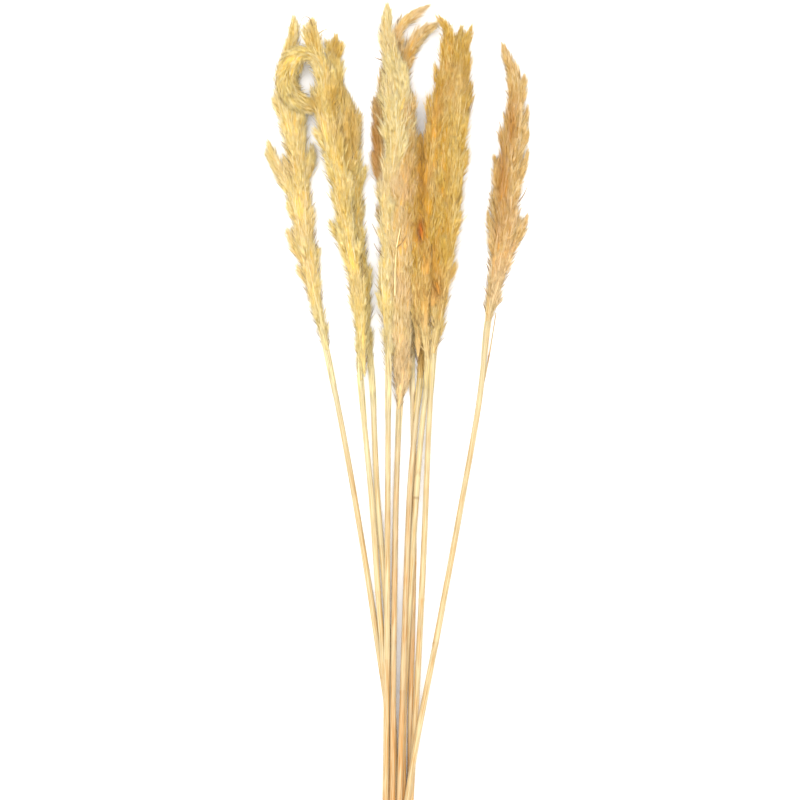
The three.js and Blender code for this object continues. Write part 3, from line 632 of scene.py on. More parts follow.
def lock_layout(lobe, settings, draw):
    """The lobe's locks, one for each patch of its side, turned on by the golden angle.

    A lock sweeps round the lobe by sines of its station and its angle. It reaches and lifts
    further the nearer it is to the tip of its branch.
    """
    stations = np.arange(LOCK.first, lobe.length - LOCK.last_gap, STATION_STEP)
    owed = np.cumsum(lobe.girth(stations) * STATION_STEP / (settings.lock_patch / MM ** 2))
    count = max(LOCK.least_count, int(owed[-1]))
    station = np.interp((np.arange(count) + 0.5) * owed[-1] / count, owed, stations)
    full = lobe.half_width(station) / lobe.widest
    full_length = settings.lock_length / MM
    length = full_length * slimmed(LOCK.thin_length, full) * draw.uniform(*LOCK.spread, count)
    wander = draw.uniform(-LOCK.wander, LOCK.wander, count)
    angle = upper_angles(GOLDEN_TURN * np.arange(count) + wander)
    branch = branch_share(station, angle, lobe.phase)
    wave = np.sin(station / LOCK.sweep_span + 2 * np.sin(angle) + 9 * lobe.phase)
    sweep = LOCK.sweep * wave - LOCK.gather * np.sin(2 * angle)
    rise = LOCK.least_lift + LOCK.branch_lift * branch ** LOCK.lift_power
    width = settings.lock_half_width / MM * slimmed(LOCK.thin_width, full)
    room = (lobe.length - station) * draw.uniform(*LOCK.end_share, count) + LOCK.end_gap
    return SimpleNamespace(
        count=count,
        station=station,
        length=np.minimum(length, room),
        angle=angle,
        turn=sweep + draw.normal(0, LOCK.turn_spread, count),
        reach=(LOCK.least_reach + LOCK.branch_reach * branch) * draw.normal(1, LOCK.reach_spread, count),
        lift=draw.gamma(*LOCK.lift_gamma, count) * slimmed(LOCK.thin_lift, full) * rise,
        half_width=width * draw.uniform(*LOCK.spread, count),
        tone=draw.uniform(0.0, 1.0, count),
    )


def lock_half_width(share):
    """A lock's half width along its length: it swells to 1 at a third and narrows to a point."""
    swelling = np.clip(share / LOCK.widest_at, 0, 1) ** LOCK.swell_power
    past = np.clip((share - LOCK.widest_at) / (1 - LOCK.widest_at), 0, 1)
    return swelling * (1 - LOCK.tip_loss * past ** LOCK.narrow_power)


def lock_fibres(lobe, count, settings, draw):
    """Fine fibres gathered in locks, as spines of three points.

    A fibre starts at a share of its lock and ends about half of the lock further on. Across the
    lock it keeps its own share of the lock's half width, so that the fibres draw together to the
    tip. The lock itself rises from a third of the outline's reach to its own reach, and lifts off
    outwards as the square of the share along it.
    """
    locks = lock_layout(lobe, settings, draw)
    lock = np.arange(count) % locks.count
    start = draw.uniform(*FIBRE.start, count)
    run = draw.uniform(*FIBRE.run, count)
    sideways = np.clip(draw.normal(0, FIBRE.sideways, count), -FIBRE.widest, FIBRE.widest)
    inward = draw.uniform(-1.0, 1.0, count)
    stray = draw.random(count) < settings.stray_share
    flare = draw.gamma(*FIBRE.flare_gamma, count) * np.where(stray, FIBRE.stray, 1.0)
    drift = draw.normal(0, FIBRE.drift, count) * np.where(stray, FIBRE.stray, 1.0)
    along_lock = start[:, None] + run[:, None] * HALFWAY
    station = locks.station[lock][:, None] + along_lock * locks.length[lock][:, None]
    rise = np.clip(along_lock, 0, FIBRE.steepest)
    gain = locks.reach[lock][:, None] - FIBRE.root_reach
    reach = FIBRE.root_reach + gain * rise ** FIBRE.reach_power
    angle = locks.angle[lock][:, None] + locks.turn[lock][:, None] * rise
    place, outward, along = lobe.place(station, angle, reach)
    across = unit(np.cross(along, outward))
    half_width = locks.half_width[lock][:, None] * lock_half_width(np.clip(along_lock, 0, 1))
    place = place + across * (sideways[:, None] * half_width + drift[:, None] * HALFWAY ** 2)[..., None]
    lift = inward[:, None] * FIBRE.thickness * half_width + flare[:, None] * HALFWAY ** 2
    lift = lift + locks.lift[lock][:, None] * rise ** 2
    place = place + outward * lift[..., None]
    radius = fibre_radius(settings, LOCK.spread, count, draw) * np.where(stray, FIBRE.stray_width, 1.0)
    depth = FIBRE.depth_reach * reach + FIBRE.depth_along * HALFWAY - FIBRE.depth_loss
    tone = np.clip(locks.tone[lock] + draw.normal(0, FIBRE.tone_spread, count), 0, 1)
    return place, radius, np.clip(depth, 0, 1), tone


def fibre_radius(settings, spread, count, draw):
    """Half the fine fibres' width, times an even draw for each fibre."""
    return settings.fibre_width / MM / 2 * draw.uniform(*spread, count)


def scattered(lobe, count, draw):
    """Random stations and angles spread evenly over the lobe's side, with the share full there."""
    stations = np.arange(SCATTER_FIRST, lobe.length + SCATTER_BEYOND, STATION_STEP)
    owed = np.cumsum(lobe.girth(stations))
    station = np.interp(draw.random(count) * owed[-1], owed, stations)
    angle = upper_angles(draw.uniform(0, math.tau, count))
    return station, angle, np.minimum(lobe.half_width(station) / lobe.widest, 1)


def rooted(lobe, kind, count, draw):
    """Roots all over the lobe, with outward, the share full there, and each one's slope and lean.

    A root lies deeper where a branch begins than at its tip.
    """
    station, angle, full = scattered(lobe, count, draw)
    branch = branch_share(station, angle, lobe.phase)
    root = (kind.root + kind.branch_root * branch) * draw.uniform(*kind.root_spread, count)
    place, outward, along = lobe.place(station, angle, root)
    slope = draw.uniform(*kind.slope, count) * slimmed(THIN_LEAN, full)
    lean = draw.normal(0, kind.lean, count)
    way = unit(along + outward * slope[:, None] + np.cross(along, outward) * lean[:, None])
    return place, outward, way, draw.uniform(*kind.length, count) * slimmed(kind.thin_length, full)


def spikelets(lobe, count, settings, draw):
    """Small pointed tufts all over the lobe, as straight spines of fibres that meet at the tip.

    Each leaves the lobe's side along it, leaning outwards by a slope and to either side, so that
    its point breaks the outline.
    """
    place, outward, way, length = rooted(lobe, SPIKELET, count, draw)
    tip = place + way * length[:, None]
    tone = draw.uniform(*SPIKELET.tone, count)
    owner = np.repeat(np.arange(count), SPIKELET.fibres)
    fibres = len(owner)
    scatter = draw.normal(0, SPIKELET.scatter, (fibres, 3))
    start = place[owner] + (scatter - way[owner] * draw.uniform(*SPIKELET.sunk, fibres)[:, None])
    end = tip[owner] + draw.normal(0, SPIKELET.tip_scatter, (fibres, 3))
    end = end - way[owner] * draw.gamma(*SPIKELET.short_gamma, fibres)[:, None]
    middle = (1 - SPIKELET.middle) * start + SPIKELET.middle * end
    middle = middle - outward[owner] * draw.uniform(*SPIKELET.sag, fibres)[:, None]
    radius = fibre_radius(settings, SPIKELET.width, fibres, draw)
    depth = np.array([SPIKELET.depth]) * draw.uniform(*SPIKELET.depth_spread, fibres)[:, None]
    return np.stack([start, middle, end], axis=1), radius, depth, tone[owner]


def down(lobe, count, settings, draw):
    """Short single fibres that stand out of the core all over the lobe, as straight spines."""
    place, _, way, length = rooted(lobe, DOWN, count, draw)
    spine = place[:, None] + way[:, None] * length[:, None, None] * DOWN_BEND[:, None]
    radius = fibre_radius(settings, DOWN.width, count, draw)
    depth = np.array([DOWN.depth]) * draw.uniform(*DOWN.depth_spread, count)[:, None]
    return spine, radius, depth, np.clip(draw.normal(*DOWN.tone, count), 0, 1)


def core(lobe):
    """The dense middle that the fibres stand out of: a closed tube of oval section.

    Its reach is the lobe's core reach, plus a ridge that grows with the share along the branch
    that covers the place, and falls to nothing before the lobe's own tip.
    """
    rows = max(CORE.least_rows, int(lobe.length / (CORE.row_span / lobe.columns)))
    station = np.linspace(CORE.first, lobe.length - CORE.last_gap, rows)[:, None]
    angle = np.arange(lobe.columns)[None, ::-1] * math.tau / lobe.columns + 0 * station
    ending = np.sqrt(np.clip((lobe.length - station) / CORE.ending, CORE.least_ending, 1))
    reach = (lobe.core_reach + CORE.ridge * branch_share(station, angle, lobe.phase)) * ending
    rings, _, _ = lobe.place(station + 0 * angle, angle, reach)
    centre, _, _, _ = lobe.line.at(lobe.foot + station[[0, -1], 0])
    points = np.vstack([centre[:1], rings.reshape(-1, 3), centre[1:]])
    return points, tube_triangles(rows, lobe.columns)


def tufts(lobe, draw):
    """The plume's larger branches: small lobes that leave its upper side all along it.

    Each starts half way out and ends past the outline. They are turned on by the golden angle.
    """
    count = int(lobe.length / TUFT.spacing)
    found = []
    for number in range(count):
        station = (number + draw.uniform(*TUFT.place)) / count * (lobe.length - TUFT.last_gap)
        full = float(lobe.half_width(station) / lobe.widest)
        length = draw.uniform(*TUFT.length) * slimmed(TUFT.thin_length, full)
        angle = upper_angles(number * GOLDEN_TURN + draw.uniform(-TUFT.wander, TUFT.wander))
        reach = np.array(TUFT.reach)
        place, outward, _ = lobe.place(station + length * HALFWAY, angle + 0 * reach, reach)
        place = place + outward * (HALFWAY ** 2 * draw.uniform(*TUFT.lift) * full)[:, None]
        size = slimmed(TUFT.thin_size, full)
        half_width = np.array(TUFT.widths) * TUFT.half_width * size
        line = Line(np.column_stack([place, half_width]))
        found.append(Lobe(line, half_thickness=TUFT.half_thickness * size, tuft=True))
    return found


def bristles(lobe, count, draw):
    """Stiff awns that stand out past the outline on both sides, as straight spines.

    The last value is how dark each is, from the fibres' own colour to the dark awns'.
    """
    station = draw.uniform(*BRISTLE.station, count) * lobe.length
    angle = draw.integers(0, 2, count) * math.pi + draw.normal(0, BRISTLE.wander, count)
    length = draw.uniform(*BRISTLE.length, count)
    reach = BRISTLE.root_reach + EARLY_BEND * BRISTLE.rise
    stations = station[:, None] + length[:, None] * EARLY_BEND
    place, outward, _ = lobe.place(stations, angle[:, None] + 0 * reach, reach)
    lift = draw.uniform(*BRISTLE.lift, count)[:, None] * EARLY_BEND
    dark = draw.uniform(*BRISTLE.dark, count)[:, None]
    return place + outward * lift[..., None], draw.uniform(*BRISTLE.radius, count), dark


def long_strands(lobe, count, draw):
    """Long pale strands that lie along the lobe's side and sweep a little round it.

    They are spines of four points, from half way out to just past the outline.
    """
    station, angle, full = scattered(lobe, count, draw)
    length = np.minimum(draw.uniform(*STRAND.length, count), lobe.length - station + STRAND.overrun)
    sweep = draw.normal(0, STRAND.sweep, count)[:, None] * STRAND_BENDS
    reach = STRAND.root_reach + STRAND.rise * STRAND_BENDS ** STRAND.rise_power + 0 * sweep
    stations = station[:, None] + length[:, None] * STRAND_BENDS
    place, outward, _ = lobe.place(stations, angle[:, None] + sweep, reach)
    standing = slimmed(STRAND.thin_lift, full[:, None]) * STRAND_BENDS
    lift = draw.uniform(*STRAND.lift, count)[:, None] * standing
    tone = draw.uniform(*STRAND.tone, count)
    radius = draw.uniform(*STRAND.radius, count)
    return place + outward * lift[..., None], radius, slimmed(STRAND.depth, reach), tone


def foot_twigs(lobe, draw):
    """Thin branches that leave the culm below the plume's foot and hug it, as spines of four points.

    They lie on the culm below the foot and on the plume's outline above it.
    """
    station = draw.uniform(*TWIG.station, TWIG.count)
    length = draw.uniform(*TWIG.length, TWIG.count)
    angle = upper_angles(draw.uniform(0, math.tau, TWIG.count))
    share = TWIG_BENDS[None, :]
    along_foot = station[:, None] + length[:, None] * share
    centre, _, side, up = lobe.line.at(lobe.foot + along_foot)
    hug = TOP_RADIUS + TWIG.gap + TWIG.loosening * share
    half_width = np.maximum(lobe.half_width(along_foot) * slimmed(TWIG.foot, share ** TWIG.opening), hug)
    half_thickness = np.maximum(lobe.half_thickness * half_width / lobe.widest, hug)
    across, rising = np.cos(angle)[:, None] * half_width, np.sin(angle)[:, None] * half_thickness
    place = centre + side * across[..., None] + up * rising[..., None]
    radius, depth = np.full(TWIG.count, TWIG.radius), np.full(across.shape, TWIG.depth)
    return place, radius, depth, draw.uniform(*TWIG.tone, TWIG.count)


def rachis(lobe):
    """The stem inside the plume: a tapered tube of six sides from its foot to its tip."""
    distance = np.linspace(RACHIS.first, lobe.length - RACHIS.last_gap, RACHIS.rows)
    radius = RACHIS.radius * (1 - RACHIS.loss * (distance / lobe.length) ** RACHIS.power)
    return tube(lobe.line, lobe.foot + distance, radius, 6)


def eased(value, start, limit):
    """A value that slows down past start, as a falling exponential, and never reaches limit."""
    room = limit - start
    past = np.maximum((value - start) / room, 0)
    return np.where(past > 0, start + room * (1 - np.exp(-past)), value)


def held_inside(points):
    """Points eased to stay above the floor and inside the bunch's full height and width."""
    x, y, z = points.T
    x = eased(eased(x, LEFTMOST + SIDE_EASING, LEFTMOST), RIGHTMOST - SIDE_EASING, RIGHTMOST)
    z = eased(eased(z, LOWEST + FLOOR_EASING, LOWEST), HIGHEST - TOP_EASING, HIGHEST)
    return np.stack([x, y, z], axis=-1)


def spot_share(points, spots):
    """How deeply each place is coloured by soft oval spots, each with its own strength.

    A spot fades from its middle as a bell curve of the distance over its half width and half
    length. The strongest spot counts.
    """
    share = np.zeros(len(points))
    for x, y, half_width, half_length, strength in spots:
        away = ((points[:, 0] - x) / half_width) ** 2 + ((points[:, 1] - y) / half_length) ** 2
        share = np.maximum(share, strength * np.exp(-away))
    return share


def add_solid(shell, surface, depth, tone, dark=0.0):
    """A closed surface of the plume, with its depth, tone and darkness for each point or for all."""
    points, triangles = surface
    flat = np.zeros(len(points))
    shell.add(held_inside(points), triangles, depth=depth + flat, tone=tone + flat, bristle=dark + flat)


def add_needles(shell, draw, spine, radius, depth, tone, tapers, dark=0.0):
    """Needles along spines, each turned at random, with their depth, tone and darkness."""
    points, triangles = needles(spine, radius, draw.uniform(0, math.tau, len(radius)), tapers)
    flat = np.zeros(spine.shape[:2])
    shell.add(held_inside(points), triangles, depth=needle_values(depth, tapers),
              tone=needle_values(tone[:, None] + flat, tapers),
              bristle=needle_values(dark + flat, tapers))


def add_lobe(shell, lobe, share, settings, draw):
    """A lobe's core and fibres of each kind, as many as its share of the plume's whole side."""
    surface = core(lobe)
    count = len(surface[0])
    add_solid(shell, surface, draw.uniform(*CORE.depth, count), draw.uniform(*CORE.tone, count))
    locks = lock_fibres(lobe, int(settings.lock_fibres * share), settings, draw)
    add_needles(shell, draw, *locks, FIBRE_TAPERS)
    tips = spikelets(lobe, int(settings.spikelets * share), settings, draw)
    add_needles(shell, draw, *tips, SPIKELET_TAPERS)
    short = down(lobe, int(settings.down_fibres * share), settings, draw)
    add_needles(shell, draw, *short, FIBRE_TAPERS)
    long = long_strands(lobe, int(settings.long_strands * share), draw)
    add_needles(shell, draw, *long, STRAND_TAPERS)
    spine, radius, dark = bristles(lobe, int(settings.bristles * share * lobe.bristles), draw)
    depth, tone = np.full(spine.shape[:2], BRISTLE.depth), np.full(len(radius), BRISTLE.tone)
    add_needles(shell, draw, spine, radius, depth, tone, FIBRE_TAPERS, dark)


def build_plume(stalk, number, settings, material):
    """One plume in one mesh: its rachis, its lobes with their tufts, its foot's twigs and its awns."""
    main = Lobe(*stalk_line(stalk))
    draw = np.random.default_rng(settings.seed + number)
    lobes = [main]
    for places in stalk.get("side_locks", ()):
        lobes.append(Lobe(Line(places), half_thickness=SIDE_HALF_THICKNESS))
    for lobe in tuple(lobes):
        if lobe.length > TUFT.least_owner:
            lobes += tufts(lobe, draw)
    shell = Shell()
    add_solid(shell, rachis(main), RACHIS.depth, RACHIS.tone)
    whole = sum(lobe.area() for lobe in lobes)
    for lobe in lobes:
        add_lobe(shell, lobe, lobe.area() / whole, settings, draw)
    add_needles(shell, draw, *foot_twigs(main, draw), STRAND_TAPERS)
    for dark, places in stalk.get("awns", ()):
        add_solid(shell, strand(places, AWN.radii, AWN.rows), AWN.depth, AWN.tone, dark)
    # Amber spots are partly painted shade in the gaps between plumes
    for label in ("amber", "rust"):
        spots = stalk.get(label + "_spots", ())
        shell.attributes[label] = [spot_share(points, spots) for points in shell.points]
    foot = main.line.at(np.array([main.foot]))[0]
    shell.attributes["foot"] = [np.exp(-((points - foot) ** 2).sum(axis=1) / FOOT_REACH ** 2)
                                for points in shell.points]
    shell.write("fibres_" + stalk["name"], material, stalk["plume_slot"], "plume_" + stalk["name"])


# ---------------------------------------------------------------------------------------------
# Culms

JOINT = SimpleNamespace(half_span=6, rows=21, swelling=0.24, swelling_span=1.9, groove=0.1,
                        groove_at=2.7, groove_span=0.8, stain_at=1.4, stain_span=1.3, back_stain=0.6)
SHEATH = SimpleNamespace(thickness=0.13, back_share=0.72, tears=7, tear=1.2, foot=(1.2, 2.2),
                         end=(-1.0, 0.6), edge_at=-0.8, edge_span=1.6, edge_stain=0.7)
WAVER = SimpleNamespace(ribs=0.8, ribs_span=90, girth=0.04, girth_span=23)
SIDE_BRANCH = SimpleNamespace(radii=(0.85, 0.5), rows=40, stain=0.4)
FIRST_RING = 0.6
TOP_GAP = 0.1
LEAST_HEIGHT = 0.02
GRAIN_SPAN = 60
TIP_GRAIN_SPAN = 40
CUT_STAIN = 0.25
CUT_DEPTH = 1.0
CUT_RINGS = ((0.42, 0.9), (0.62, 0.75), (0.7, 0.15), (0.93, 0.0))
CUT_POINTS = 1 + CULM_COLUMNS * len(CUT_RINGS)
PITH_POINTS = 1 + CULM_COLUMNS * 2


def bell(value, middle, span):
    """A bell curve of height 1: the falling exponential of the squared distance over the span."""
    return np.exp(-((value - middle) / span) ** 2)


def culm_radius(share):
    """The bare stem's radius, which falls along a power curve from the cut end to the plume."""
    return BUTT_RADIUS - (BUTT_RADIUS - TOP_RADIUS) * share ** TAPER_POWER


def culm_rows(stalk, length):
    """Distances of the culm's rings: an even step, and a finer one round each node."""
    rows = [np.arange(FIRST_RING, length, CULM_ROW)]
    for share, _, _ in stalk["joints"]:
        rows.append(share * length + np.linspace(-JOINT.half_span, JOINT.half_span, JOINT.rows))
    return np.unique(np.clip(np.round(np.concatenate(rows + [[length]]), 2), FIRST_RING, length))


def culm_profile(stalk, number, length, distance, angle, settings):
    """The culm's radius, stain and sheath at each distance and angle.

    The radius is the tapered radius, plus fine ribs as a cosine of the angle, plus a swelling and
    a groove at each node, plus the thickness of a sheath up to its slanting ragged end. Each sheath
    is longest on a side of its own.
    """
    draw = np.random.default_rng(settings.seed + number)
    ribs = np.cos(RIBS * angle + WAVER.ribs * np.sin(distance / WAVER.ribs_span))
    radius = culm_radius(distance / length) + settings.rib_height / MM * ribs
    radius = radius + WAVER.girth * np.sin(distance / WAVER.girth_span + number)
    stain, sheath = 0 * radius, 0 * radius
    for joint, sheath_length, strength in stalk["joints"]:
        past = distance - joint * length
        radius = radius + JOINT.swelling * bell(past, 0, JOINT.swelling_span)
        radius = radius - JOINT.groove * bell(past, JOINT.groove_at, JOINT.groove_span)
        facing = np.cos(angle - draw.uniform(0, math.tau))
        end = sheath_length * slimmed(SHEATH.back_share, facing)
        past_end = past - end - SHEATH.tear * np.sin(SHEATH.tears * angle + number)
        wrapped = smooth_step(*SHEATH.foot, past) * (1 - smooth_step(*SHEATH.end, past_end))
        radius = radius + SHEATH.thickness * wrapped
        edge = SHEATH.edge_stain * bell(past_end, SHEATH.edge_at, SHEATH.edge_span) * (past > 0)
        node = bell(past, JOINT.stain_at, JOINT.stain_span)
        stain = np.maximum(stain, np.maximum(node, edge) * strength * slimmed(JOINT.back_stain, facing))
        sheath = np.maximum(sheath, wrapped)
    return radius, stain, sheath


def capped(cut, rings, top):
    """One value for each point of a culm: those of the cut end, of its rings and of its top."""
    return np.concatenate([np.full(CUT_POINTS, cut), rings.ravel(), [top]])


def build_culm(stalk, number, settings, material):
    """One culm: a ribbed stem with nodes, what is left of their leaf sheaths, and a hollow cut end."""
    line, foot = stalk_line(stalk)
    length = foot - TOP_GAP
    distance = culm_rows(stalk, length)[:, None]
    angle = (np.arange(CULM_COLUMNS) * math.tau / CULM_COLUMNS)[None, :]
    radius, stain, sheath = culm_profile(stalk, number, length, distance, angle, settings)
    centre, _, side, up = line.at(distance[:, 0])
    ring = side[:, None] * np.cos(angle)[..., None] - up[:, None] * np.sin(angle)[..., None]
    rings = centre[:, None] + ring * radius[..., None]
    rings[..., 2] = np.maximum(rings[..., 2], LEAST_HEIGHT)
    cut, cut_grain = cut_end(line, rings[0])
    points = np.vstack([cut, rings.reshape(-1, 3), line.at(np.array([length]))[0]])
    flat = 0 * radius
    grain = np.stack([GRAIN_TURN * np.cos(angle) + flat, GRAIN_TURN * np.sin(angle) + flat,
                      distance / GRAIN_SPAN + number + flat], -1)
    shell = Shell()
    shell.add(
        points, tube_triangles(len(CUT_RINGS) + len(distance), CULM_COLUMNS),
        grain=np.vstack([cut_grain, grain.reshape(-1, 3), [[0, 0, length / TIP_GRAIN_SPAN]]]),
        stain=capped(CUT_STAIN, stain, 0.0),
        sheath=capped(0.0, sheath, 0.0),
        crown=capped(0.0, np.exp((distance - length) / CROWN_REACH) + flat, 1.0),
        # Painted shade: deep amber towards the cut end, strongest on the culms that lie under others
        butt=capped(stalk["butt"], stalk["butt"] * np.exp(-distance / BUTT_SHADE_REACH) + flat, 0.0),
        pith=capped(np.arange(CUT_POINTS) < PITH_POINTS, flat, 0.0),
    )
    if "branch" in stalk:
        add_branch(shell, stalk["branch"])
    shell.write("stem_" + stalk["name"], material, stalk["culm_slot"], "culm_" + stalk["name"])


def cut_end(line, first_ring):
    """The cut end, from its middle point outwards: spongy pith set back inside a firm rim.

    Each ring is the culm's own first ring, drawn in to a share of its radius and set back a depth
    along the line.
    """
    centre, along, _, _ = line.at(np.array([0.0]))
    outline = first_ring - line.at(np.array([FIRST_RING]))[0]
    rings = [centre + along * CUT_DEPTH]
    grain = [np.zeros((1, 3))]
    for share, depth in CUT_RINGS:
        rings.append(centre + outline * share + along * depth)
        grain.append(outline * share)
    return np.vstack(rings), np.vstack(grain)


def add_branch(shell, places):
    """A thin side branch of the culm."""
    points, triangles = strand(places, SIDE_BRANCH.radii, SIDE_BRANCH.rows)
    zero = np.zeros(len(points))
    grain = np.column_stack([zero, zero, points[:, 1] / TIP_GRAIN_SPAN])
    shell.add(points, triangles, grain=grain, stain=zero + SIDE_BRANCH.stain, sheath=zero, crown=zero,
              butt=zero, pith=zero)


# ---------------------------------------------------------------------------------------------
# Materials

STRONG_PATCHES = 0.4
WEAK_PATCHES = 0.2
PATCHY_SLOTS = ("blush", "tan")
BUMP_STRENGTH = 0.25
BUMP_HEIGHT = 0.2


def new_node(tree, kind, **settings):
    """A node of the kind, with the settings given."""
    node = tree.nodes.new(kind)
    for label, value in settings.items():
        setattr(node, label, value)
    return node


def new_group(name, inputs, outputs):
    """An empty shader node group with named sockets, and its input and output nodes."""
    tree = bpy.data.node_groups.new(name, "ShaderNodeTree")
    for label, kind in inputs:
        tree.interface.new_socket(label, in_out="INPUT", socket_type=kind)
    for label, kind in outputs:
        tree.interface.new_socket(label, in_out="OUTPUT", socket_type=kind)
    return tree, tree.nodes.new("NodeGroupInput").outputs, tree.nodes.new("NodeGroupOutput").inputs


def read_attribute(tree, label, output="Fac"):
    """The value that a point attribute of the mesh has at the place being shaded."""
    return new_node(tree, "ShaderNodeAttribute", attribute_name=label).outputs[output]


def mixed(tree, factor, first, second):
    """A colour between two, by a factor."""
    mix = new_node(tree, "ShaderNodeMix", data_type="RGBA")
    for socket, source in zip((mix.inputs[0], mix.inputs[6], mix.inputs[7]), (factor, first, second)):
        tree.links.new(source, socket)
    return mix.outputs[2]


def remapped(tree, value, low, high, to_low=0.0, to_high=1.0):
    """A value carried smoothly from one range to another, and kept inside it."""
    remap = new_node(tree, "ShaderNodeMapRange", interpolation_type="SMOOTHSTEP")
    tree.links.new(value, remap.inputs["Value"])
    for label, number in (("From Min", low), ("From Max", high), ("To Min", to_low), ("To Max", to_high)):
        remap.inputs[label].default_value = number
    return remap.outputs["Result"]


def product(tree, first, second):
    """The product of two values, each a number or a socket."""
    multiply = new_node(tree, "ShaderNodeMath", operation="MULTIPLY")
    for socket, source in zip(multiply.inputs, (first, second)):
        if isinstance(source, float):
            socket.default_value = source
        else:
            tree.links.new(source, socket)
    return multiply.outputs[0]


def noise(tree, vector, scale, detail=2.0):
    """Noise from 0 to 1 at a place, with the scale as the number of its cells in a unit."""
    texture = new_node(tree, "ShaderNodeTexNoise")
    texture.inputs["Scale"].default_value = scale
    texture.inputs["Detail"].default_value = detail
    tree.links.new(vector, texture.inputs["Vector"])
    return texture.outputs["Fac"]


def brightened(tree, colour, value):
    """A colour times a value, with its hue and saturation kept."""
    hue = new_node(tree, "ShaderNodeHueSaturation")
    tree.links.new(colour, hue.inputs["Color"])
    tree.links.new(value, hue.inputs["Value"])
    return hue.outputs["Color"]


def fibre_group():
    """Fibre colour: deep by the rachis, partly painted shade, and pale at the tips, toned by lock and in
    soft patches.
    """
    labels = ("Deep", "Middle", "Pale", "Foot", "Patch", "Amber", "Rust", "Bristle")
    inputs = [(label, "NodeSocketColor") for label in labels] + [("Patch Share", "NodeSocketFloat")]
    outputs = [("Color", "NodeSocketColor"), ("Roughness", "NodeSocketFloat")]
    tree, given, result = new_group("fibre_tones", inputs, outputs)
    depth = read_attribute(tree, "depth")
    tone = read_attribute(tree, "tone")
    place = new_node(tree, "ShaderNodeTexCoord").outputs["Object"]
    # Partly painted shade: the colour deepens to a saturated gold towards the rachis, where the inside of
    # the plume lies in shade.
    low = mixed(tree, remapped(tree, depth, 0.2, 0.8), given["Deep"], given["Middle"])
    bleached = product(tree, remapped(tree, depth, 0.4, 1.0), remapped(tree, tone, 0.2, 0.95, 0.15, 1.0))
    tipped = mixed(tree, bleached, low, given["Pale"])
    foot = read_attribute(tree, "foot")
    full = mixed(tree, product(tree, foot, 0.4), tipped, given["Foot"])
    patches = remapped(tree, noise(tree, place, 26.0), 0.45, 0.68)
    patched = mixed(tree, product(tree, patches, given["Patch Share"]), full, given["Patch"])
    # Amber spots: partly the fibres' own deeper colour and partly painted shade in the gaps between
    # plumes, weaker towards the tips
    amber = product(tree, read_attribute(tree, "amber"), remapped(tree, depth, 0.4, 1.0, 1.0, 0.75))
    stained = mixed(tree, amber, patched, given["Amber"])
    rusted = mixed(tree, read_attribute(tree, "rust"), stained, given["Rust"])
    shaded = remapped(tree, foot, 0.0, 1.0, 1.0, 0.885)
    value = product(tree, remapped(tree, tone, 0.0, 1.0, 0.9, 1.07), shaded)
    dark = mixed(tree, read_attribute(tree, "bristle"), brightened(tree, rusted, value), given["Bristle"])
    tree.links.new(dark, result["Color"])
    tree.links.new(remapped(tree, noise(tree, place, 120.0), 0.3, 0.7, 0.6, 0.8), result["Roughness"])
    return tree


def straw_group():
    """Straw colour: amber streaks along a pale stem, painted shade towards the cut ends, stained nodes,
    paler sheaths and pith.
    """
    labels = ("Pale", "Amber", "Bloom", "Crown", "Butt", "Stain", "Pith")
    inputs = [(label, "NodeSocketColor") for label in labels]
    outputs = [("Color", "NodeSocketColor"), ("Roughness", "NodeSocketFloat"),
               ("Height", "NodeSocketFloat")]
    tree, given, result = new_group("straw_streaks", inputs, outputs)
    grain = read_attribute(tree, "grain", "Vector")
    place = new_node(tree, "ShaderNodeTexCoord").outputs["Object"]
    streaks = noise(tree, grain, 1.6, 4.0)
    fine = noise(tree, grain, 3.4, 4.0)
    streaked = mixed(tree, remapped(tree, streaks, 0.4, 0.64), given["Pale"], given["Amber"])
    bloom = product(tree, remapped(tree, noise(tree, grain, 2.6), 0.5, 0.68), 0.6)
    bloomed = mixed(tree, bloom, streaked, given["Bloom"])
    crowned = mixed(tree, product(tree, read_attribute(tree, "crown"), 0.8), bloomed, given["Crown"])
    # Painted shade: deep amber along the streaks towards the cut ends of the culms that lie under others
    butt_shading = product(tree, read_attribute(tree, "butt"), remapped(tree, streaks, 0.38, 0.6, 0.3, 1.0))
    butt_shaded = mixed(tree, butt_shading, crowned, given["Butt"])
    blotched = brightened(tree, butt_shaded, remapped(tree, noise(tree, place, 34.0), 0.3, 0.7, 0.93, 1.05))
    lit = brightened(tree, blotched, remapped(tree, fine, 0.34, 0.66, 0.84, 1.08))
    covered = mixed(tree, product(tree, read_attribute(tree, "sheath"), 0.35), lit, given["Pale"])
    stained = mixed(tree, product(tree, read_attribute(tree, "stain"), 0.85), covered, given["Stain"])
    cut = mixed(tree, read_attribute(tree, "pith"), stained, given["Pith"])
    tree.links.new(cut, result["Color"])
    tree.links.new(remapped(tree, fine, 0.3, 0.7, 0.5, 0.7), result["Roughness"])
    tree.links.new(fine, result["Height"])
    return tree


def new_material(name, group, values, constants):
    """A Principled material whose colour and roughness come from a node group.

    The values go to the group's own sockets and the constants to the shader's.
    """
    material = bpy.data.materials.new(name)
    material.use_nodes = True
    tree = material.node_tree
    shader = tree.nodes["Principled BSDF"]
    tones = new_node(tree, "ShaderNodeGroup", node_tree=group)
    for label, value in values.items():
        tones.inputs[label].default_value = value
    for label, value in constants.items():
        shader.inputs[label].default_value = value
    tree.links.new(tones.outputs["Color"], shader.inputs["Base Color"])
    tree.links.new(tones.outputs["Roughness"], shader.inputs["Roughness"])
    return material, tree, shader, tones


def slot_colours(colours, slot, places):
    """The slot's own colours, by the names of the node group's sockets."""
    return {place.title(): getattr(colours, slot + "_" + place) for place in places}


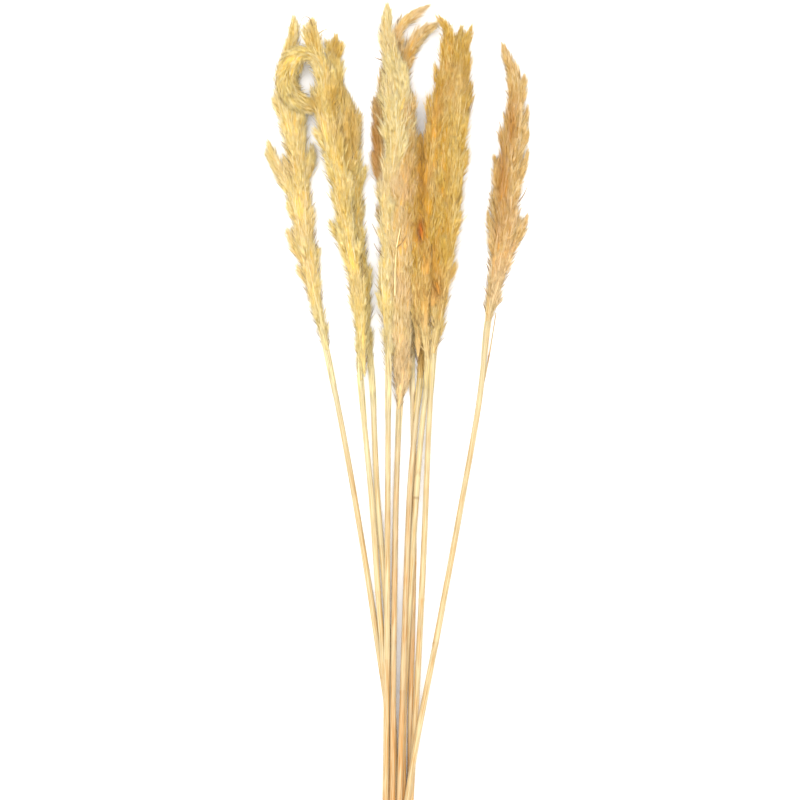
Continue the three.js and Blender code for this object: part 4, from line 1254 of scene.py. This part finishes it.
def fibre_material(slot, group, colours):
    """The material of a plume's slot."""
    values = slot_colours(colours, slot, FIBRE_PLACES)
    values.update(slot_colours(colours, "plume", ("foot", "patch", "rust", "bristle")))
    values["Patch Share"] = STRONG_PATCHES if slot in PATCHY_SLOTS else WEAK_PATCHES
    constants = {"Sheen Weight": 0.12, "Sheen Tint": colours.sheen_tint, "Sheen Roughness": 0.5,
                 "Specular IOR Level": 0.3}
    return new_material("fibre_" + slot, group, values, constants)[0]


def straw_material(slot, group, colours):
    """The material of a culm's slot, whose fine streaks are slightly raised."""
    values = slot_colours(colours, slot, STRAW_PLACES)
    values.update(slot_colours(colours, "culm", ("bloom", "crown", "butt", "pith")))
    constants = {"Sheen Weight": 0.25, "Sheen Tint": colours.sheen_tint, "Specular IOR Level": 0.35}
    material, tree, shader, tones = new_material("stem_" + slot, group, values, constants)
    bump = new_node(tree, "ShaderNodeBump")
    bump.inputs["Strength"].default_value = BUMP_STRENGTH
    bump.inputs["Distance"].default_value = BUMP_HEIGHT * MM
    tree.links.new(tones.outputs["Height"], bump.inputs["Height"])
    tree.links.new(bump.outputs["Normal"], shader.inputs["Normal"])
    return material


# ---------------------------------------------------------------------------------------------
# Settings


def colour_setting(name, description, default):
    """A colour that a user can change, as linear red, green, blue and alpha."""
    return bpy.props.FloatVectorProperty(
        name=name, description=description, default=default, subtype="COLOR", size=4, min=0.0, max=1.0)


def slot_settings(pieces, colours, places):
    """A colour setting for each slot and each of its places."""
    settings = {}
    for slot, codes in colours.items():
        title = slot.replace("_", " ").capitalize()
        for (place, where), code in zip(places.items(), codes):
            settings[f"{slot}_{place}"] = colour_setting(
                f"{title}, {place}", f"Colour of the {title.lower()} {pieces} {where}", linear(code))
    return settings


def shared_settings():
    """A colour setting for each colour that the slots share."""
    settings = {}
    for label, (code, description) in SHARED_COLOURS.items():
        name = label.replace("_", " ").capitalize()
        settings[label] = colour_setting(name, description, linear(code))
    settings["sheen_tint"] = colour_setting(
        "Sheen tint", "Colour of the soft sheen on every piece", SHEEN_TINT)
    return settings


class PampasColourSettings(bpy.types.PropertyGroup):
    """The colours of the fibres and the culms."""
    __annotations__ = {
        **slot_settings("culms", STRAW_COLOURS, STRAW_PLACES),
        **slot_settings("fibres", FIBRE_COLOURS, FIBRE_PLACES),
        **shared_settings(),
    }


class PampasPlumeSettings(bpy.types.PropertyGroup):
    """How many fibres of each kind a plume has, and how large they are."""
    lock_fibres: bpy.props.IntProperty(
        name="Lock fibres", description="Fine fibres in the locks of each plume", default=13500, min=100)
    spikelets: bpy.props.IntProperty(
        name="Spikelets", description="Small pointed tufts of each plume", default=1400, min=10)
    down_fibres: bpy.props.IntProperty(
        name="Down fibres", description="Short fibres between the locks of each plume", default=8000,
        min=100)
    long_strands: bpy.props.IntProperty(
        name="Long strands", description="Long pale strands of each plume", default=240, min=0)
    bristles: bpy.props.IntProperty(
        name="Bristles", description="Stiff dark awns of each plume", default=320, min=0)
    fibre_width: bpy.props.FloatProperty(
        name="Fibre width", description="Width of a fine fibre", default=0.00032, unit="LENGTH")
    lock_length: bpy.props.FloatProperty(
        name="Lock length", description="Length of a lock where the plume is full", default=0.03,
        unit="LENGTH")
    lock_half_width: bpy.props.FloatProperty(
        name="Lock half width", description="Half width of a lock at its widest", default=0.0013,
        unit="LENGTH")
    lock_patch: bpy.props.FloatProperty(
        name="Lock patch", description="Area of the plume's side for each lock", default=0.00002,
        unit="AREA")
    stray_share: bpy.props.FloatProperty(
        name="Stray share", description="Share of fibres that stand away from their lock", default=0.14,
        subtype="FACTOR")
    seed: bpy.props.IntProperty(name="Seed", description="Seed of the plumes' draws", default=11)


class PampasCulmSettings(bpy.types.PropertyGroup):
    """The culms' fine ribs, and the seed of their sheaths."""
    rib_height: bpy.props.FloatProperty(
        name="Rib height", description="Height of the culm's fine ribs", default=0.00005, unit="LENGTH")
    seed: bpy.props.IntProperty(name="Seed", description="Seed of the culms' draws", default=40)


class PampasStageSettings(bpy.types.PropertyGroup):
    """The view, the floor and the light."""
    frame_width: bpy.props.FloatProperty(
        name="Frame width", description="Width of the floor that the camera sees", default=0.736,
        unit="LENGTH")
    lens: bpy.props.FloatProperty(
        name="Lens", description="Focal length", default=85.0, subtype="DISTANCE_CAMERA")
    floor_size: bpy.props.FloatProperty(
        name="Floor size", description="Width of the square floor", default=8.0, unit="LENGTH")
    floor_colour: colour_setting("Floor colour", "Colour of the floor", FLOOR_COLOUR)
    sky_strength: bpy.props.FloatProperty(
        name="Sky strength", description="Brightness of the even light", default=0.93)
    key_power: bpy.props.FloatProperty(
        name="Key power", description="Power of the large soft light", default=88.0, unit="POWER")


# ---------------------------------------------------------------------------------------------
# Stage


def add_floor(scene, settings):
    """A square pale floor at height 0, as part of the stage."""
    half = settings.floor_size / 2
    mesh = bpy.data.meshes.new("floor")
    mesh.from_pydata([(-half, -half, 0), (half, -half, 0), (half, half, 0), (-half, half, 0)], [],
                     [(0, 1, 2, 3)])
    material = bpy.data.materials.new("floor")
    material.use_nodes = True
    shader = material.node_tree.nodes["Principled BSDF"]
    shader.inputs["Base Color"].default_value = settings.floor_colour
    shader.inputs["Roughness"].default_value = 0.9
    mesh.materials.append(material)
    floor = bpy.data.objects.new("floor", mesh)
    scene.collection.objects.link(floor)


def add_light(scene, settings):
    """An even white sky, and one large soft light from the upper left."""
    world = bpy.data.worlds.new("sky")
    world.use_nodes = True
    sky = world.node_tree.nodes["Background"]
    sky.inputs["Color"].default_value = (1.0, 1.0, 1.0, 1.0)
    sky.inputs["Strength"].default_value = settings.sky_strength
    scene.world = world
    light = bpy.data.lights.new("key", "AREA")
    light.shape = "DISK"
    light.size = KEY_SIZE
    light.energy = settings.key_power
    key = bpy.data.objects.new("key", light)
    key.location = KEY_PLACE
    away = np.array(KEY_PLACE) - np.array(VIEW_CENTRE) * MM
    key.rotation_euler = (math.acos(away[2] / np.linalg.norm(away)), 0, math.atan2(away[0], -away[1]))
    scene.collection.objects.link(key)


def add_camera(scene, settings):
    """A camera straight above, high enough that the frame's width fills its view."""
    data = bpy.data.cameras.new("camera")
    data.lens = settings.lens
    data.clip_end = 100.0
    camera = bpy.data.objects.new("camera", data)
    x, y, z = np.array(VIEW_CENTRE) * MM
    camera.location = (x, y, z + settings.frame_width * settings.lens / data.sensor_width)
    scene.collection.objects.link(camera)
    scene.camera = camera
    scene.view_settings.view_transform = "Standard"


# ---------------------------------------------------------------------------------------------
# Operators and panel


class PAMPAS_OT_stage(bpy.types.Operator):
    """Set the floor, the soft light and the camera that looks straight down"""
    bl_idname = "pampas.stage"
    bl_label = "Set Stage"

    def execute(self, context):
        settings = context.scene.pampas_stage
        add_floor(context.scene, settings)
        add_light(context.scene, settings)
        add_camera(context.scene, settings)
        return {"FINISHED"}


class PAMPAS_OT_culms(bpy.types.Operator):
    """Build the bare stems"""
    bl_idname = "pampas.culms"
    bl_label = "Build Culms"

    def execute(self, context):
        settings, colours = context.scene.pampas_culms, context.scene.pampas_colours
        group = straw_group()
        materials = {slot: straw_material(slot, group, colours) for slot in STRAW_COLOURS}
        for number, stalk in enumerate(STALKS):
            build_culm(stalk, number, settings, materials[stalk["culm_slot"]])
        return {"FINISHED"}


class PAMPAS_OT_plumes(bpy.types.Operator):
    """Build the feathery plumes"""
    bl_idname = "pampas.plumes"
    bl_label = "Build Plumes"

    def execute(self, context):
        settings, colours = context.scene.pampas_plumes, context.scene.pampas_colours
        group = fibre_group()
        materials = {slot: fibre_material(slot, group, colours) for slot in FIBRE_COLOURS}
        for number, stalk in enumerate(STALKS):
            build_plume(stalk, number, settings, materials[stalk["plume_slot"]])
        return {"FINISHED"}


class PAMPAS_PT_bunch(bpy.types.Panel):
    """The bunch's settings and build steps"""
    bl_idname = "PAMPAS_PT_bunch"
    bl_label = "Pampas Grass Bunch"
    bl_space_type = "VIEW_3D"
    bl_region_type = "UI"
    bl_category = "Pampas"

    def draw(self, context):
        for label, operator in (("pampas_stage", "pampas.stage"), ("pampas_culms", "pampas.culms"),
                                ("pampas_plumes", "pampas.plumes"), ("pampas_colours", None)):
            column = self.layout.column(align=True)
            for setting in SCENE_SETTINGS[label].__annotations__:
                column.prop(getattr(context.scene, label), setting)
            if operator:
                column.operator(operator)


CLASSES = (
    PampasColourSettings, PampasPlumeSettings, PampasCulmSettings, PampasStageSettings,
    PAMPAS_OT_stage, PAMPAS_OT_culms, PAMPAS_OT_plumes, PAMPAS_PT_bunch,
)
SCENE_SETTINGS = {
    "pampas_colours": PampasColourSettings,
    "pampas_plumes": PampasPlumeSettings,
    "pampas_culms": PampasCulmSettings,
    "pampas_stage": PampasStageSettings,
}


def register():
    """Register the classes, and give every scene the bunch's settings."""
    for each in CLASSES:
        bpy.utils.register_class(each)
    for label, settings in SCENE_SETTINGS.items():
        setattr(bpy.types.Scene, label, bpy.props.PointerProperty(type=settings))


def unregister():
    """Take the settings off the scenes, and unregister the classes."""
    for label in SCENE_SETTINGS:
        delattr(bpy.types.Scene, label)
    for each in reversed(CLASSES):
        bpy.utils.unregister_class(each)


def main():
    """Build the stage, the culms and the plumes."""
    register()
    bpy.ops.pampas.stage()
    bpy.ops.pampas.culms()
    bpy.ops.pampas.plumes()
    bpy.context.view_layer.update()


if __name__ == "__main__":
    main()
